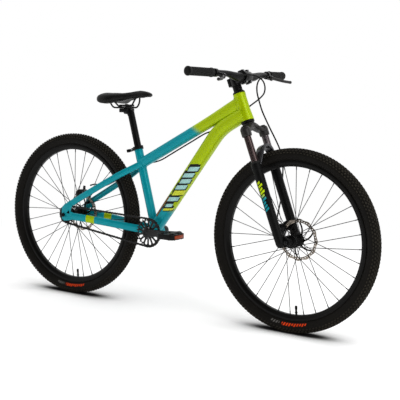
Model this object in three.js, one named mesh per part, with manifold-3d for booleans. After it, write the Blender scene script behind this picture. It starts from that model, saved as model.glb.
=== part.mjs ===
// A dirt jump bicycle as an assembly of separate solids.
// Lengths are millimetres. X points forward, Y to the rider's left, Z up.
// The origin lies on the ground, halfway between the two axles.
import * as THREE from "three";
import { mergeVertices } from "three/addons/utils/BufferGeometryUtils.js";
import Module from "manifold-3d";

const wasm = await Module();
wasm.setup();

// Layout of the bicycle
const WHEELBASE = 1074;
const WHEEL_RADIUS = 345;
const REAR_TYRE_ROOM = 92; // from the rear tyre forward to the bottom bracket
const BRACKET_DROP = 33; // bottom bracket below the axles
const HEAD_ANGLE_DEGREES = 67.8;
const SEAT_ANGLE_DEGREES = 73.5;
const FORK_RAKE = 38;
const SEAM = 0.3; // gap between two pieces that touch
const MERGE = 1e-3; // corners closer than this are one corner
const OVERRUN = 6; // how far a cutting tool reaches past what it cuts

// Tyres, rims, hubs and spokes
const TYRE_WIDTH = 53;
const TYRE_WALL = 3.4;
const TREAD_FLAT = 12;
const TYRE_HEIGHT = 53; // from the bead to the tread
const RIM_WIDTH = 30;
const RIM_WALL = 2.4;
const RIM_FLANGE = 6;
const RIM_DEPTH = 15;
const WHEEL_FACETS = 32;
const SPOKE_COUNT = 32;
const SPOKE_DIAMETER = 2.2;
const SPOKE_CROSSINGS = 6; // holes of one flange that a spoke leans past
const HUB_FLANGE_RADIUS = 25;
const HUB_FLANGE_THICKNESS = 3.2;
const HUB_BODY_RADIUS = 15;
const HUB_END_RADIUS = 9.5;
const FRONT_HUB_WIDTH = 100;
const REAR_HUB_WIDTH = 135;
const FLANGE_SPACING = 54;
const AXLE_RADIUS = 4.8;
const AXLE_CLEARANCE = 0.4;
const AXLE_NUT_ACROSS = 15;
const AXLE_NUT_HEIGHT = 8;
const AXLE_TAIL = 4;
const ROTOR_RADIUS = 80;
const ROTOR_WAVE = 2.2;
const ROTOR_WAVES = 12;
const ROTOR_TRACK = 15;
const ROTOR_ARMS = 6;
const ROTOR_THICKNESS = 1.9;
const ROTOR_BORE_RADIUS = 18;
const ROTOR_SEAT_RADIUS = 22;
const FRONT_ROTOR_INSET = 11.5; // inwards from the end of its hub
const REAR_ROTOR_INSET = 15.5;

// Chain drive
const CHAIN_PITCH = 12.7;
const RING_TEETH = 28;
const COG_TEETH = 18;
const CHAIN_LINE = 50;
const ROLLER_RADIUS = 3.9;
const CHAIN_GAP = 2.9; // free width between the two rows of plates
const CHAIN_PLATE = 1.7;
const PLATE_HALF_HEIGHT = 4.2;
const PLATE_WAIST = 2.6;
const PLATE_INSIDE = 3.4;
const SPROCKET_THICKNESS = 2.2;
const TOOTH_TIP = 3.4;
const RING_RIM = 9;
const RING_SLOTS = 14;
const RING_HUB_RADIUS = 21;
const COG_BODY_RADIUS = 20;

// Bottom bracket, cranks and pedals
const BRACKET_SHELL_WIDTH = 73;
const BRACKET_SHELL_RADIUS = 21.5;
const BRACKET_BORE_RADIUS = 17;
const SPINDLE_RADIUS = 9.5;
const SPINDLE_REACH = 60;
const CUP_FLANGE = 3.2;
const CRANK_LENGTH = 170;
const CRANK_RISE_DEGREES = 5;
const CRANK_EYE_SIDE = 76;
const CRANK_THICKNESS = 14;
const CRANK_BOSS_RADIUS = 19;
const CRANK_EYE_RADIUS = 13;
const CRANK_WAIST_HEIGHT = 26;
const PEDAL_AXLE_RADIUS = 6.6;
const PEDAL_LENGTH = 80;
const PEDAL_WIDTH = 88;
const PEDAL_HEIGHT = 21;
const PEDAL_BARREL_RADIUS = 9.6;
const PEDAL_COLLAR = 4;

// Frame tubes
const HEAD_TUBE_BASE = 486; // along the steering axis, above the height of the axle foot
const HEAD_TUBE_LENGTH = 109;
const HEAD_TUBE_RADIUS = 23.5;
const HEAD_TUBE_FLARE = 3;
const HEAD_BORE_RADIUS = 18;
const SEAT_TUBE_LENGTH = 357;
const SEAT_TUBE_RADIUS = 17.5;
const TOP_TUBE_DROP = 73; // below the top of the seat tube
const TOP_TUBE_HEAD_DROP = 36; // below the top of the head tube
const TOP_TUBE_HEIGHT = 42;
const TOP_TUBE_WIDTH = 40;
const DOWN_TUBE_WIDTH = 52;
const STAY_HEIGHT = 26;
const STAY_WIDTH = 15;
const CHAINSTAY_HEIGHT = 31;
const DROPOUT_THICKNESS = 6;
const DROPOUT_SPAN = 50;
const SEATSTAY_FORWARD = 40; // foot of a seat stay ahead of the axle
const SEATSTAY_RISE = 52.5; // and above it
const SEATSTAY_DROP = 77.7; // head of a seat stay below the top of the seat tube
const SEATSTAY_SETBACK = 4.9; // and behind its axis
const DOWN_TUBE_SETBACK = 8; // foot of the down tube behind the bottom bracket
const DOWN_TUBE_RISE = 6; // and above it
const DOWN_TUBE_BEND_SETBACK = 127.7; // bend behind the steering axis
const DOWN_TUBE_BEND_RISE = 10.4; // and above the base of the head tube
const DOWN_TUBE_BEND_REACH = 42;

// Headset, stem and handlebar
const STEERER_RADIUS = 14.3;
const CUP_HEIGHT = 11;
const SPACER_HEIGHT = 20;
const SPACER_WALL = 3.4;
const STEM_CLAMP_HEIGHT = 40;
const STEM_CLAMP_RADIUS = 19;
const STEM_REACH = 46;
const STEM_BAR_DROP = 1;
const TOP_CAP_HEIGHT = 5;
const BAR_CLAMP_RADIUS = 15.9;
const BAR_CLAMP_WIDTH = 46;
const STEM_SHELL = 5.5;
const BAR_LENGTH = 671;
const BAR_SWEEP = 31;
const BAR_RISE = 12;
const BAR_STRAIGHT_SHARE = 0.28; // of the way to the brake lever, straight in the middle
const BAR_BEND_SHARE = 0.688; // of the way to the brake lever, at the end of its bend
const BAR_END_RADIUS = 11.1;
const GRIP_LENGTH = 130;
const GRIP_RADIUS = 15.8;
const GRIP_FLANGE = 1.6;
const LEVER_CLAMP_ROOM = 19.5; // from the grip inwards to the middle of the clamp
const LEVER_BLADE_SPAN = 90;
const LEVER_TIP_REACH = 66;
const LEVER_TIP_DROP = 22.4;
const LEVER_CLAMP_WIDTH = 14;
const LEVER_CLAMP_WALL = 4.5;
const LEVER_BLADE_HEIGHT = 11;
const LEVER_BLADE_DEPTH = 7;
const LEVER_PIVOT_RADIUS = 2.6;
const LEVER_PIVOT_INSET = 14; // pivot inwards from the clamp
const LEVER_PIVOT_REACH = 32;
const LEVER_TILT_DEGREES = 20;
const LEVER_BARREL_RADIUS = 4.2;
const LEVER_BARREL_REACH = 20;
const LEVER_BARREL_LENGTH = 20;

// Fork
const CROWN_OFFSET = 17;
const LEG_OUTSET = 15; // middle of a leg outwards from the end of the hub
const STANCHION_RADIUS = 14;
const CROWN_SEAT = 1; // between the crown and the lower headset cup
const CROWN_HEIGHT = 55;
const CROWN_THICKNESS = 20;
const CROWN_BOSS_HEIGHT = 36;
const CROWN_BOSS_RADIUS = 19.5;
const STANCHION_OVERLAP = 140; // length of a stanchion inside its slider
const FORK_TRAVEL = 72;
const SLIDER_BORE_ROOM = 12; // under a stanchion at the end of its travel
const SLIDER_DROP = 67; // top of the sliders below the top of the arch
const SLIDER_RADIUS_TOP = 19;
const SLIDER_RADIUS_LOW = 16;
const SEAL_HEIGHT = 8;
const ARCH_ROOM_SHARE = 0.149; // of the way from the tyre up to the head tube
const ARCH_THICKNESS = 13;
const ARCH_DEPTH = 38;
const ARCH_FORWARD = 20;
const FORK_DROPOUT_THICKNESS = 9;
const FORK_TAB_THICKNESS = 6;

// Brake calipers
const CALIPER_LENGTH = 54;
const CALIPER_DEPTH = 34;
const CALIPER_INBOARD = 13;
const CALIPER_SLOT = 3.6;
const CALIPER_PIVOT_RADIUS = 8;
const CALIPER_ARM_LENGTH = 34;
const CALIPER_ARM_THICKNESS = 5;
const CABLE_RADIUS = 2.4;
const CABLE_GAP = 0.4; // between a cable and the barrel of its lever
const ROUTE_UNIT = 100; // cable routes are given in shares of this

// Seat collar, seatpost and saddle
const COLLAR_HEIGHT = 14;
const COLLAR_WALL = 3.6;
const COLLAR_LEVER_LENGTH = 32;
const COLLAR_LEVER_SIDE = 13.3; // barrel of the lever to the left of the middle
const POST_RADIUS = 14.3;
const POST_LENGTH = 295;
const POST_NECK = 12; // top of the tube below the seat of the clamp
const CLAMP_SETBACK = 164; // centre of the rail clamp behind the bottom bracket
const RAIL_RISE = 498; // and above it
const SADDLE_TILT_DEGREES = -2;
const RAIL_RADIUS = 3.5;
const RAIL_SPACING = 44;
const CLAMP_LENGTH = 34;
const CLAMP_WIDTH = 56;
const CLAMP_PLATE = 7;
const SADDLE_LENGTH = 268;
const SADDLE_WIDTH = 150;
const SADDLE_CROWN = 56; // top of the saddle above its rails
const SADDLE_NOSE_SHARE = 0.4925; // of its length, ahead of the clamp

const RADIANS = Math.PI / 180;
const REAR = "rear";
const FRONT = "front";

// Colours and finishes
const finishes = {
  teal: { color: 0x1d8f9a, roughness: 0.3, metalness: 0.25 },
  lime: { color: 0xb4d615, roughness: 0.3, metalness: 0.2 },
  black: { color: 0x17181a, roughness: 0.45, metalness: 0.4 },
  rubber: { color: 0x1c1d1e, roughness: 0.9, metalness: 0 },
  graphite: { color: 0x3a3b3d, roughness: 0.4, metalness: 0.5 },
  steel: { color: 0x9a9c9e, roughness: 0.3, metalness: 0.9 },
};

const vec = (x, y, z) => new THREE.Vector3(x, y, z);

// Groups that carry the pieces of each assembly
function group(parent, position, tilt = 0) {
  const made = new THREE.Group();
  made.position.copy(position);
  made.rotation.y = tilt;
  if (parent) parent.add(made);
  made.updateMatrixWorld(true);
  return made;
}

const bicycle = new THREE.Group();
const steeringTilt = (HEAD_ANGLE_DEGREES - 90) * RADIANS;
const seatTilt = (SEAT_ANGLE_DEGREES - 90) * RADIANS;
const frontAxlePlace = vec(WHEELBASE / 2, 0, WHEEL_RADIUS);
const rearAxlePlace = vec(-WHEELBASE / 2, 0, WHEEL_RADIUS);
const bracketPlace = rearAxlePlace.clone().add(vec(WHEEL_RADIUS + REAR_TYRE_ROOM, 0, -BRACKET_DROP));
const steeringFoot = vec(
  frontAxlePlace.x - FORK_RAKE * Math.cos(steeringTilt),
  0,
  frontAxlePlace.z + FORK_RAKE * Math.sin(steeringTilt),
);
const steering = group(bicycle, steeringFoot, steeringTilt);
const seatAxis = group(bicycle, bracketPlace, seatTilt);
const cranks = group(bicycle, bracketPlace, 0);
const rearAxle = group(bicycle, rearAxlePlace, 0);
const frontAxle = group(bicycle, frontAxlePlace, 0);
const saddlePlace = group(
  bicycle,
  bracketPlace.clone().add(vec(-CLAMP_SETBACK, 0, RAIL_RISE)),
  SADDLE_TILT_DEGREES * RADIANS,
);

// Rotor places and rim radii
const frontRotorSide = FRONT_HUB_WIDTH / 2 - FRONT_ROTOR_INSET;
const rearRotorSide = REAR_HUB_WIDTH / 2 - REAR_ROTOR_INSET;
const beadRadius = WHEEL_RADIUS - TYRE_HEIGHT;
const rimInnerRadius = beadRadius - RIM_DEPTH;

// Named points of the steering assembly, along its own axis
const headTubeTop = HEAD_TUBE_BASE + HEAD_TUBE_LENGTH;
const stemFoot = headTubeTop + CUP_HEIGHT + SPACER_HEIGHT;
const stemTop = stemFoot + STEM_CLAMP_HEIGHT;
const legSpacing = FRONT_HUB_WIDTH + 2 * LEG_OUTSET;
const crownTop = HEAD_TUBE_BASE - CUP_HEIGHT - CROWN_SEAT;
const crownBase = crownTop - CROWN_HEIGHT;
const archRoom = ARCH_ROOM_SHARE * (HEAD_TUBE_BASE - WHEEL_RADIUS);
const archTop = WHEEL_RADIUS + archRoom + ARCH_THICKNESS;
const sliderTop = archTop - SLIDER_DROP;
const stanchionFoot = sliderTop - STANCHION_OVERLAP;
const sliderBoreFloor = stanchionFoot - FORK_TRAVEL - SLIDER_BORE_ROOM;
const barCentre = vec(STEM_REACH, 0, (stemFoot + stemTop) / 2 - STEM_BAR_DROP);
const barPlace = group(bicycle, barCentre.clone().applyMatrix4(steering.matrixWorld), 0);

// Closed geometry with its corners merged, its zero-area faces dropped and its faces outwards
function outward(geometry) {
  const bare = new THREE.BufferGeometry();
  bare.setAttribute("position", geometry.getAttribute("position").clone());
  if (geometry.index) bare.setIndex(geometry.index.clone());
  const merged = mergeVertices(bare, MERGE);
  const place = merged.getAttribute("position");
  const faces = [];
  let volume = 0;
  const [a, b, c] = [vec(0, 0, 0), vec(0, 0, 0), vec(0, 0, 0)];
  for (let i = 0; i < merged.index.count; i += 3) {
    const corner = [0, 1, 2].map((k) => merged.index.getX(i + k));
    if (new Set(corner).size < 3) continue;
    a.fromBufferAttribute(place, corner[0]);
    b.fromBufferAttribute(place, corner[1]);
    c.fromBufferAttribute(place, corner[2]);
    volume += a.dot(b.cross(c));
    faces.push(corner);
  }
  if (volume < 0) faces.forEach((corner) => corner.reverse());
  merged.setIndex(faces.flat());
  return merged;
}

function solid(geometry) {
  const closed = outward(geometry);
  return new wasm.Manifold(
    new wasm.Mesh({
      numProp: 3,
      vertProperties: new Float32Array(closed.getAttribute("position").array),
      triVerts: new Uint32Array(closed.index.array),
    }),
  );
}

function geometryOf(body) {
  const mesh = body.getMesh();
  const geometry = new THREE.BufferGeometry();
  geometry.setAttribute("position", new THREE.BufferAttribute(new Float32Array(mesh.vertProperties), 3));
  geometry.setIndex(new THREE.BufferAttribute(new Uint32Array(mesh.triVerts), 1));
  return geometry;
}

function fuse(...geometries) {
  return geometryOf(geometries.map(solid).reduce((whole, next) => whole.add(next)));
}

function cut(geometry, ...tools) {
  return geometryOf(tools.map(solid).reduce((whole, tool) => whole.subtract(tool), solid(geometry)));
}

// The same geometry, given in another group's frame
function carried(geometry, from, to) {
  const matrix = to.matrixWorld.clone().invert().multiply(from.matrixWorld);
  return geometry.clone().applyMatrix4(matrix);
}

function piece(parent, name, finish, geometry) {
  const shown = outward(geometry);
  shown.computeVertexNormals();
  const material = new THREE.MeshStandardMaterial({ ...finishes[finish], flatShading: true });
  const mesh = new THREE.Mesh(shown, material);
  mesh.name = name;
  parent.add(mesh);
  return shown;
}

// A body turned about the Y axis: the profile is a list of [radius, side]
function turned(profile, facets, closedRing = false) {
  const points = profile.map(([radius, side]) => new THREE.Vector2(radius, side));
  if (closedRing) points.push(points[0].clone());
  return new THREE.LatheGeometry(points, facets, Math.PI / facets);
}

// The same, about the Z axis
function turnedUp(profile, facets, closedRing = false) {
  return turned(profile, facets, closedRing).rotateX(Math.PI / 2);
}

const solidProfile = (radius, from, to) => [
  [0, from],
  [radius, from],
  [radius, to],
  [0, to],
];
const sleeveProfile = (bore, radius, from, to) => [
  [bore, from],
  [radius, from],
  [radius, to],
  [bore, to],
];

// A closed cylinder or cone between two points
function rod(from, to, radius, radiusEnd = radius, facets = 12) {
  const along = to.clone().sub(from);
  const geometry = new THREE.CylinderGeometry(radiusEnd, radius, along.length(), facets);
  const turn = new THREE.Quaternion().setFromUnitVectors(vec(0, 1, 0), along.clone().normalize());
  geometry.applyQuaternion(turn);
  const middle = from.clone().add(to).divideScalar(2);
  return geometry.translate(middle.x, middle.y, middle.z);
}

// An outline in X and Z with a thickness along Y
function plate(outline, from, to, holes = []) {
  const [near, far] = [Math.min(from, to), Math.max(from, to)];
  const shape = new THREE.Shape(outline.map(([x, z]) => new THREE.Vector2(x, z)));
  const geometry = new THREE.ExtrudeGeometry(shape, { depth: far - near, bevelEnabled: false });
  geometry.rotateX(Math.PI / 2).translate(0, far, 0);
  if (!holes.length) return geometry;
  return cut(geometry, ...holes.map((hole) => plate(hole, near - OVERRUN, far + OVERRUN)));
}

const circle = (radius, count, x = 0, z = 0) =>
  Array.from({ length: count }, (_, i) => {
    const angle = (2 * Math.PI * i) / count;
    return [x + radius * Math.cos(angle), z + radius * Math.sin(angle)];
  });

// A closed skin over rings of equal point count
function loft(rings) {
  const count = rings[0].length;
  const points = rings.flat();
  const faces = [];
  for (let r = 0; r + 1 < rings.length; r++) {
    for (let i = 0; i < count; i++) {
      const [a, b] = [r * count + i, r * count + ((i + 1) % count)];
      faces.push(a, b, a + count, b, b + count, a + count);
    }
  }
  const last = (rings.length - 1) * count;
  for (let i = 1; i + 1 < count; i++) {
    faces.push(0, i + 1, i, last, last + i, last + i + 1);
  }
  const geometry = new THREE.BufferGeometry().setFromPoints(points);
  geometry.setIndex(faces);
  return geometry;
}

// A ring of points round a centre; squareness 2 is an ellipse and more is boxier
function section(centre, across, up, halfWidth, halfHeight, count, squareness = 2) {
  return Array.from({ length: count }, (_, i) => {
    const angle = (2 * Math.PI * (i + 0.5)) / count;
    const [c, s] = [Math.cos(angle), Math.sin(angle)];
    const a = Math.sign(c) * Math.abs(c) ** (2 / squareness) * halfWidth;
    const b = Math.sign(s) * Math.abs(s) ** (2 / squareness) * halfHeight;
    return centre.clone().addScaledVector(across, a).addScaledVector(up, b);
  });
}

// A tube over stations of { at, width, height }, its height kept as near as can be to one direction
function lofted(stations, count, squareness = 2, upward = vec(0, 0, 1)) {
  return loft(
    stations.map((station, i) => {
      const before = stations[Math.max(i - 1, 0)].at;
      const after = stations[Math.min(i + 1, stations.length - 1)].at;
      const along = after.clone().sub(before).normalize();
      const across = along.clone().cross(upward).normalize();
      const up = across.clone().cross(along);
      return section(station.at, across, up, station.width / 2, station.height / 2, count, squareness);
    }),
  );
}

// A round cord along a list of points
function cord(points, radius, steps, sides = 8) {
  const shape = new THREE.Shape(circle(radius, sides).map(([x, y]) => new THREE.Vector2(x, y)));
  return new THREE.ExtrudeGeometry(shape, {
    steps,
    bevelEnabled: false,
    extrudePath: new THREE.CatmullRomCurve3(points, false, "centripetal"),
  });
}

// Tyre: crown and side walls outside, casing inside, open towards the rim
const tyreOutsideShares = [
  [0.12, 0.7],
  [0.5, 1],
  [0.82, 0.86],
];
const tyreInsideShares = [
  [0.3, 0.84],
  [0.8, 0.84],
];
function tyre() {
  const crown = WHEEL_RADIUS / Math.cos(Math.PI / WHEEL_FACETS);
  const flangeTop = beadRadius + RIM_FLANGE;
  const bead = RIM_WIDTH / 2 - RIM_WALL - SEAM;
  const rise = crown - flangeTop;
  const outer = tyreOutsideShares.map(([up, out]) => [flangeTop + up * rise, (out * TYRE_WIDTH) / 2]);
  const inner = tyreInsideShares.map(([up, out]) => [
    flangeTop + up * (rise - TYRE_WALL),
    (out * TYRE_WIDTH) / 2 - TYRE_WALL,
  ]);
  const half = [
    [beadRadius + SEAM, bead - TYRE_WALL],
    [beadRadius + SEAM, bead],
    [flangeTop, bead],
    ...outer,
    [crown, TREAD_FLAT / 2],
  ];
  const mirrored = (profile) => [...profile].reverse().map(([radius, side]) => [radius, -side]);
  const casing = [...inner].reverse();
  return turned([...half, ...mirrored(half), ...mirrored(casing), ...casing], WHEEL_FACETS, true);
}

function rim() {
  const flangeTop = beadRadius + RIM_FLANGE;
  const half = RIM_WIDTH / 2;
  const well = (beadRadius + rimInnerRadius) / 2;
  const profile = [
    [flangeTop, half],
    [beadRadius - RIM_WALL, half],
    [rimInnerRadius, half / 2],
    [rimInnerRadius, -half / 2],
    [beadRadius - RIM_WALL, -half],
    [flangeTop, -half],
    [flangeTop, RIM_WALL - half],
    [beadRadius, RIM_WALL - half],
    [well, 0],
    [beadRadius, half - RIM_WALL],
    [flangeTop, half - RIM_WALL],
  ];
  return turned(profile, WHEEL_FACETS, true);
}

// Hub shell with its flanges, and the crossed spokes that run from them to the rim
function hubWithSpokes(width, rotorSide, bodyEnd) {
  const bore = AXLE_RADIUS + AXLE_CLEARANCE;
  const flange = FLANGE_SPACING / 2;
  const inside = flange - HUB_FLANGE_THICKNESS;
  const rotorFace = rotorSide - ROTOR_THICKNESS / 2 - SEAM;
  const spigot = ROTOR_BORE_RADIUS - 3 * SEAM;
  const profile = [
    [bore, -width / 2],
    [HUB_END_RADIUS, -width / 2],
    [HUB_BODY_RADIUS, -bodyEnd],
    [HUB_BODY_RADIUS, -flange],
    [HUB_FLANGE_RADIUS, -flange],
    [HUB_FLANGE_RADIUS, -inside],
    [HUB_BODY_RADIUS, -inside],
    [HUB_BODY_RADIUS, inside],
    [HUB_FLANGE_RADIUS, inside],
    [HUB_FLANGE_RADIUS, flange],
    [HUB_BODY_RADIUS, flange],
    [HUB_BODY_RADIUS, rotorFace - HUB_FLANGE_THICKNESS],
    [ROTOR_SEAT_RADIUS, rotorFace - HUB_FLANGE_THICKNESS],
    [ROTOR_SEAT_RADIUS, rotorFace],
    [spigot, rotorFace],
    [spigot, rotorSide + ROTOR_THICKNESS],
    [HUB_END_RADIUS, rotorSide + 2 * ROTOR_THICKNESS],
    [HUB_END_RADIUS, width / 2],
    [bore, width / 2],
  ];
  const shell = turned(profile, 12, true);
  const holeCircle = HUB_FLANGE_RADIUS - SPOKE_DIAMETER;
  const reach = rimInnerRadius * Math.cos(Math.PI / WHEEL_FACETS) - SEAM;
  const perSide = SPOKE_COUNT / 2;
  const spokes = [];
  for (let i = 0; i < SPOKE_COUNT; i++) {
    const side = i % 2 ? 1 : -1;
    const lean = Math.floor(i / 2) % 2 ? 1 : -1;
    const rimAngle = (2 * Math.PI * i) / SPOKE_COUNT;
    const hubAngle = rimAngle + (lean * SPOKE_CROSSINGS * Math.PI) / perSide / 1.15;
    const face = side * (flange - HUB_FLANGE_THICKNESS / 2 + (lean * HUB_FLANGE_THICKNESS) / 2.4);
    const foot = vec(holeCircle * Math.cos(hubAngle), face, holeCircle * Math.sin(hubAngle));
    const head = vec(reach * Math.cos(rimAngle), (side * RIM_WIDTH) / 12, reach * Math.sin(rimAngle));
    spokes.push(rod(foot, head, SPOKE_DIAMETER / 2, SPOKE_DIAMETER / 2, 3));
  }
  return fuse(shell, ...spokes);
}

// Brake rotor: waved track, slots along it and curved arms to the centre
function rotor(side) {
  const count = ROTOR_WAVES * 4;
  const wavy = (radius, wave, phase) =>
    Array.from({ length: count }, (_, i) => {
      const angle = (2 * Math.PI * i) / count;
      const r = radius + wave * Math.cos(ROTOR_WAVES * angle + phase);
      return [r * Math.cos(angle), r * Math.sin(angle)];
    });
  const windows = [];
  const trackInside = ROTOR_RADIUS - ROTOR_TRACK;
  const hubOutside = ROTOR_BORE_RADIUS + ROTOR_WAVE * 3;
  const armShare = 0.24;
  for (let i = 0; i < ROTOR_ARMS; i++) {
    const start = (2 * Math.PI * i) / ROTOR_ARMS;
    const width = (2 * Math.PI * (1 - armShare)) / ROTOR_ARMS;
    const twist = 0.45;
    const outer = [0, 0.33, 0.67, 1].map((t) => [trackInside - ROTOR_WAVE, start + twist + t * width]);
    const inner = [1, 0].map((t) => [hubOutside, start + 0.1 + t * (width - 0.2)]);
    windows.push([...outer, ...inner].map(([r, a]) => [r * Math.cos(a), r * Math.sin(a)]));
  }
  for (let i = 0; i < ROTOR_WAVES; i += 2) {
    const angle = (2 * Math.PI * (i + 0.5)) / ROTOR_WAVES;
    const slot = [
      [-4, -2],
      [-2, -4],
      [4, 1],
      [2, 3],
    ];
    const middle = ROTOR_RADIUS - ROTOR_TRACK / 2;
    const unit = ROTOR_TRACK / 12;
    windows.push(
      slot.map(([along, out]) => [
        (middle + unit * out) * Math.cos(angle) - unit * along * Math.sin(angle),
        (middle + unit * out) * Math.sin(angle) + unit * along * Math.cos(angle),
      ]),
    );
  }
  windows.push(circle(ROTOR_BORE_RADIUS, 16));
  const half = ROTOR_THICKNESS / 2;
  return plate(wavy(ROTOR_RADIUS - ROTOR_WAVE, ROTOR_WAVE, 0), side - half, side + half, windows);
}

function axleWithNuts(seat) {
  const nut = AXLE_NUT_ACROSS / Math.sqrt(3);
  const end = seat + AXLE_NUT_HEIGHT + AXLE_TAIL;
  const bar = turned(solidProfile(AXLE_RADIUS, -end, end), 12);
  const nuts = [-1, 1].map((side) =>
    turned(solidProfile(nut, side * seat, side * (seat + AXLE_NUT_HEIGHT)), 6),
  );
  return fuse(bar, ...nuts);
}

// Chain drive: pitch radii and the path of the rollers round both sprockets
const pitchRadius = (teeth) => CHAIN_PITCH / 2 / Math.sin(Math.PI / teeth);
const ringRadius = pitchRadius(RING_TEETH);
const cogRadius = pitchRadius(COG_TEETH);
const drive = vec(rearAxlePlace.x - bracketPlace.x, 0, rearAxlePlace.z - bracketPlace.z);
const driveAngle = Math.atan2(drive.z, drive.x);
const wrapLean = Math.asin((ringRadius - cogRadius) / drive.length());
const straightRun = drive.length() * Math.cos(wrapLean);

// Roller centres in [x, z] about the bottom bracket, one for each link
function rollers() {
  const ringTurn = Math.PI + 2 * wrapLean;
  const cogTurn = Math.PI - 2 * wrapLean;
  const ringPitches = (ringTurn * RING_TEETH) / (2 * Math.PI);
  const cogPitches = (cogTurn * COG_TEETH) / (2 * Math.PI);
  const links = 2 * Math.round((ringPitches + cogPitches + (2 * straightRun) / CHAIN_PITCH) / 2);
  const runPitches = (links - ringPitches - cogPitches) / 2;
  const leave = driveAngle - Math.PI / 2 + wrapLean;
  const ringStart = leave - ringTurn;
  const at = (centre, radius, angle) => [
    centre.x + radius * Math.cos(angle),
    centre.z + radius * Math.sin(angle),
  ];
  const none = vec(0, 0, 0);
  const mix = (a, b, t) => [a[0] + (b[0] - a[0]) * t, a[1] + (b[1] - a[1]) * t];
  const points = [];
  for (let i = 0; i < links; i++) {
    let step = i + 0.5;
    if (step < ringPitches) {
      points.push(at(none, ringRadius, ringStart + (ringTurn * step) / ringPitches));
      continue;
    }
    step -= ringPitches;
    if (step < runPitches) {
      points.push(mix(at(none, ringRadius, leave), at(drive, cogRadius, leave), step / runPitches));
      continue;
    }
    step -= runPitches;
    if (step < cogPitches) {
      points.push(at(drive, cogRadius, leave + (cogTurn * step) / cogPitches));
      continue;
    }
    step -= cogPitches;
    points.push(mix(at(drive, cogRadius, ringStart), at(none, ringRadius, ringStart), step / runPitches));
  }
  return points;
}

// Two rows of waisted plates joined by the rollers that the teeth sit between
function chain() {
  const points = rollers();
  const count = points.length;
  const rail = (from, to) => {
    const outer = [];
    const inner = [];
    points.forEach((here, i) => {
      const before = points[(i + count - 1) % count];
      const after = points[(i + 1) % count];
      const normalOf = (a, b) => {
        const length = Math.hypot(b[0] - a[0], b[1] - a[1]);
        return [(b[1] - a[1]) / length, -(b[0] - a[0]) / length];
      };
      const n = normalOf(before, after);
      const m = normalOf(here, after);
      const middle = [(here[0] + after[0]) / 2, (here[1] + after[1]) / 2];
      outer.push([here[0] + n[0] * PLATE_HALF_HEIGHT, here[1] + n[1] * PLATE_HALF_HEIGHT]);
      outer.push([middle[0] + m[0] * PLATE_WAIST, middle[1] + m[1] * PLATE_WAIST]);
      inner.push([here[0] - n[0] * PLATE_INSIDE, here[1] - n[1] * PLATE_INSIDE]);
    });
    return plate(outer, from, to, [inner]);
  };
  const inside = CHAIN_GAP / 2;
  const outside = inside + CHAIN_PLATE;
  const bars = points.map(([x, z]) =>
    rod(
      vec(x, -CHAIN_LINE - inside - CHAIN_PLATE / 2, z),
      vec(x, -CHAIN_LINE + inside + CHAIN_PLATE / 2, z),
      PLATE_WAIST,
      PLATE_WAIST,
      3,
    ),
  );
  return fuse(
    rail(-CHAIN_LINE - outside, -CHAIN_LINE - inside),
    rail(-CHAIN_LINE + inside, -CHAIN_LINE + outside),
    ...bars,
  );
}

// Tooth outline: a root between rollers and a tip that stands past the pitch circle
function toothed(teeth, radius, rollerAngle) {
  const root = radius - ROLLER_RADIUS - SEAM;
  const points = [];
  for (let i = 0; i < teeth; i++) {
    const start = rollerAngle + (2 * Math.PI * i) / teeth;
    const step = (2 * Math.PI) / teeth;
    const corners = [
      [root, -0.16],
      [root, 0.16],
      [radius + TOOTH_TIP, 0.45],
      [radius + TOOTH_TIP, 0.55],
    ];
    corners.forEach(([r, share]) => {
      const angle = start + share * step;
      points.push([r * Math.cos(angle), r * Math.sin(angle)]);
    });
  }
  return points;
}

function chainring() {
  const first = rollers()[0];
  const phase = Math.atan2(first[1], first[0]);
  const holes = [circle(SPINDLE_RADIUS + SEAM * 2, 16)];
  const slotInside = RING_HUB_RADIUS + RING_RIM / 2;
  const slotOutside = ringRadius - ROLLER_RADIUS - RING_RIM / 1.5;
  for (let i = 0; i < RING_SLOTS; i++) {
    const angle = (2 * Math.PI * i) / RING_SLOTS;
    const spread = Math.PI / RING_SLOTS;
    const slot = [
      [slotInside, -0.25],
      [slotInside, 0.25],
      [slotOutside - RING_RIM / 4, 0.58],
      [slotOutside, 0],
      [slotOutside - RING_RIM / 4, -0.58],
    ];
    holes.push(
      slot.map(([r, share]) => [r * Math.cos(angle + share * spread), r * Math.sin(angle + share * spread)]),
    );
  }
  const half = SPROCKET_THICKNESS / 2;
  return plate(toothed(RING_TEETH, ringRadius, phase), -CHAIN_LINE - half, -CHAIN_LINE + half, holes);
}

function freewheel() {
  const points = rollers();
  const onCog = points.find(([x, z]) => Math.hypot(x - drive.x, z - drive.z) < cogRadius + SEAM / 10);
  const phase = Math.atan2(onCog[1] - drive.z, onCog[0] - drive.x);
  const half = SPROCKET_THICKNESS / 2;
  const bore = HUB_BODY_RADIUS + SEAM;
  const cog = plate(toothed(COG_TEETH, cogRadius, phase), -CHAIN_LINE - half, -CHAIN_LINE + half, [
    circle(bore, 16),
  ]);
  const inner = FLANGE_SPACING / 2 + HUB_FLANGE_THICKNESS * 2;
  const body = turned(sleeveProfile(bore, COG_BODY_RADIUS, -CHAIN_LINE - half * 4, -inner), 16, true);
  return fuse(cog, body);
}

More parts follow.
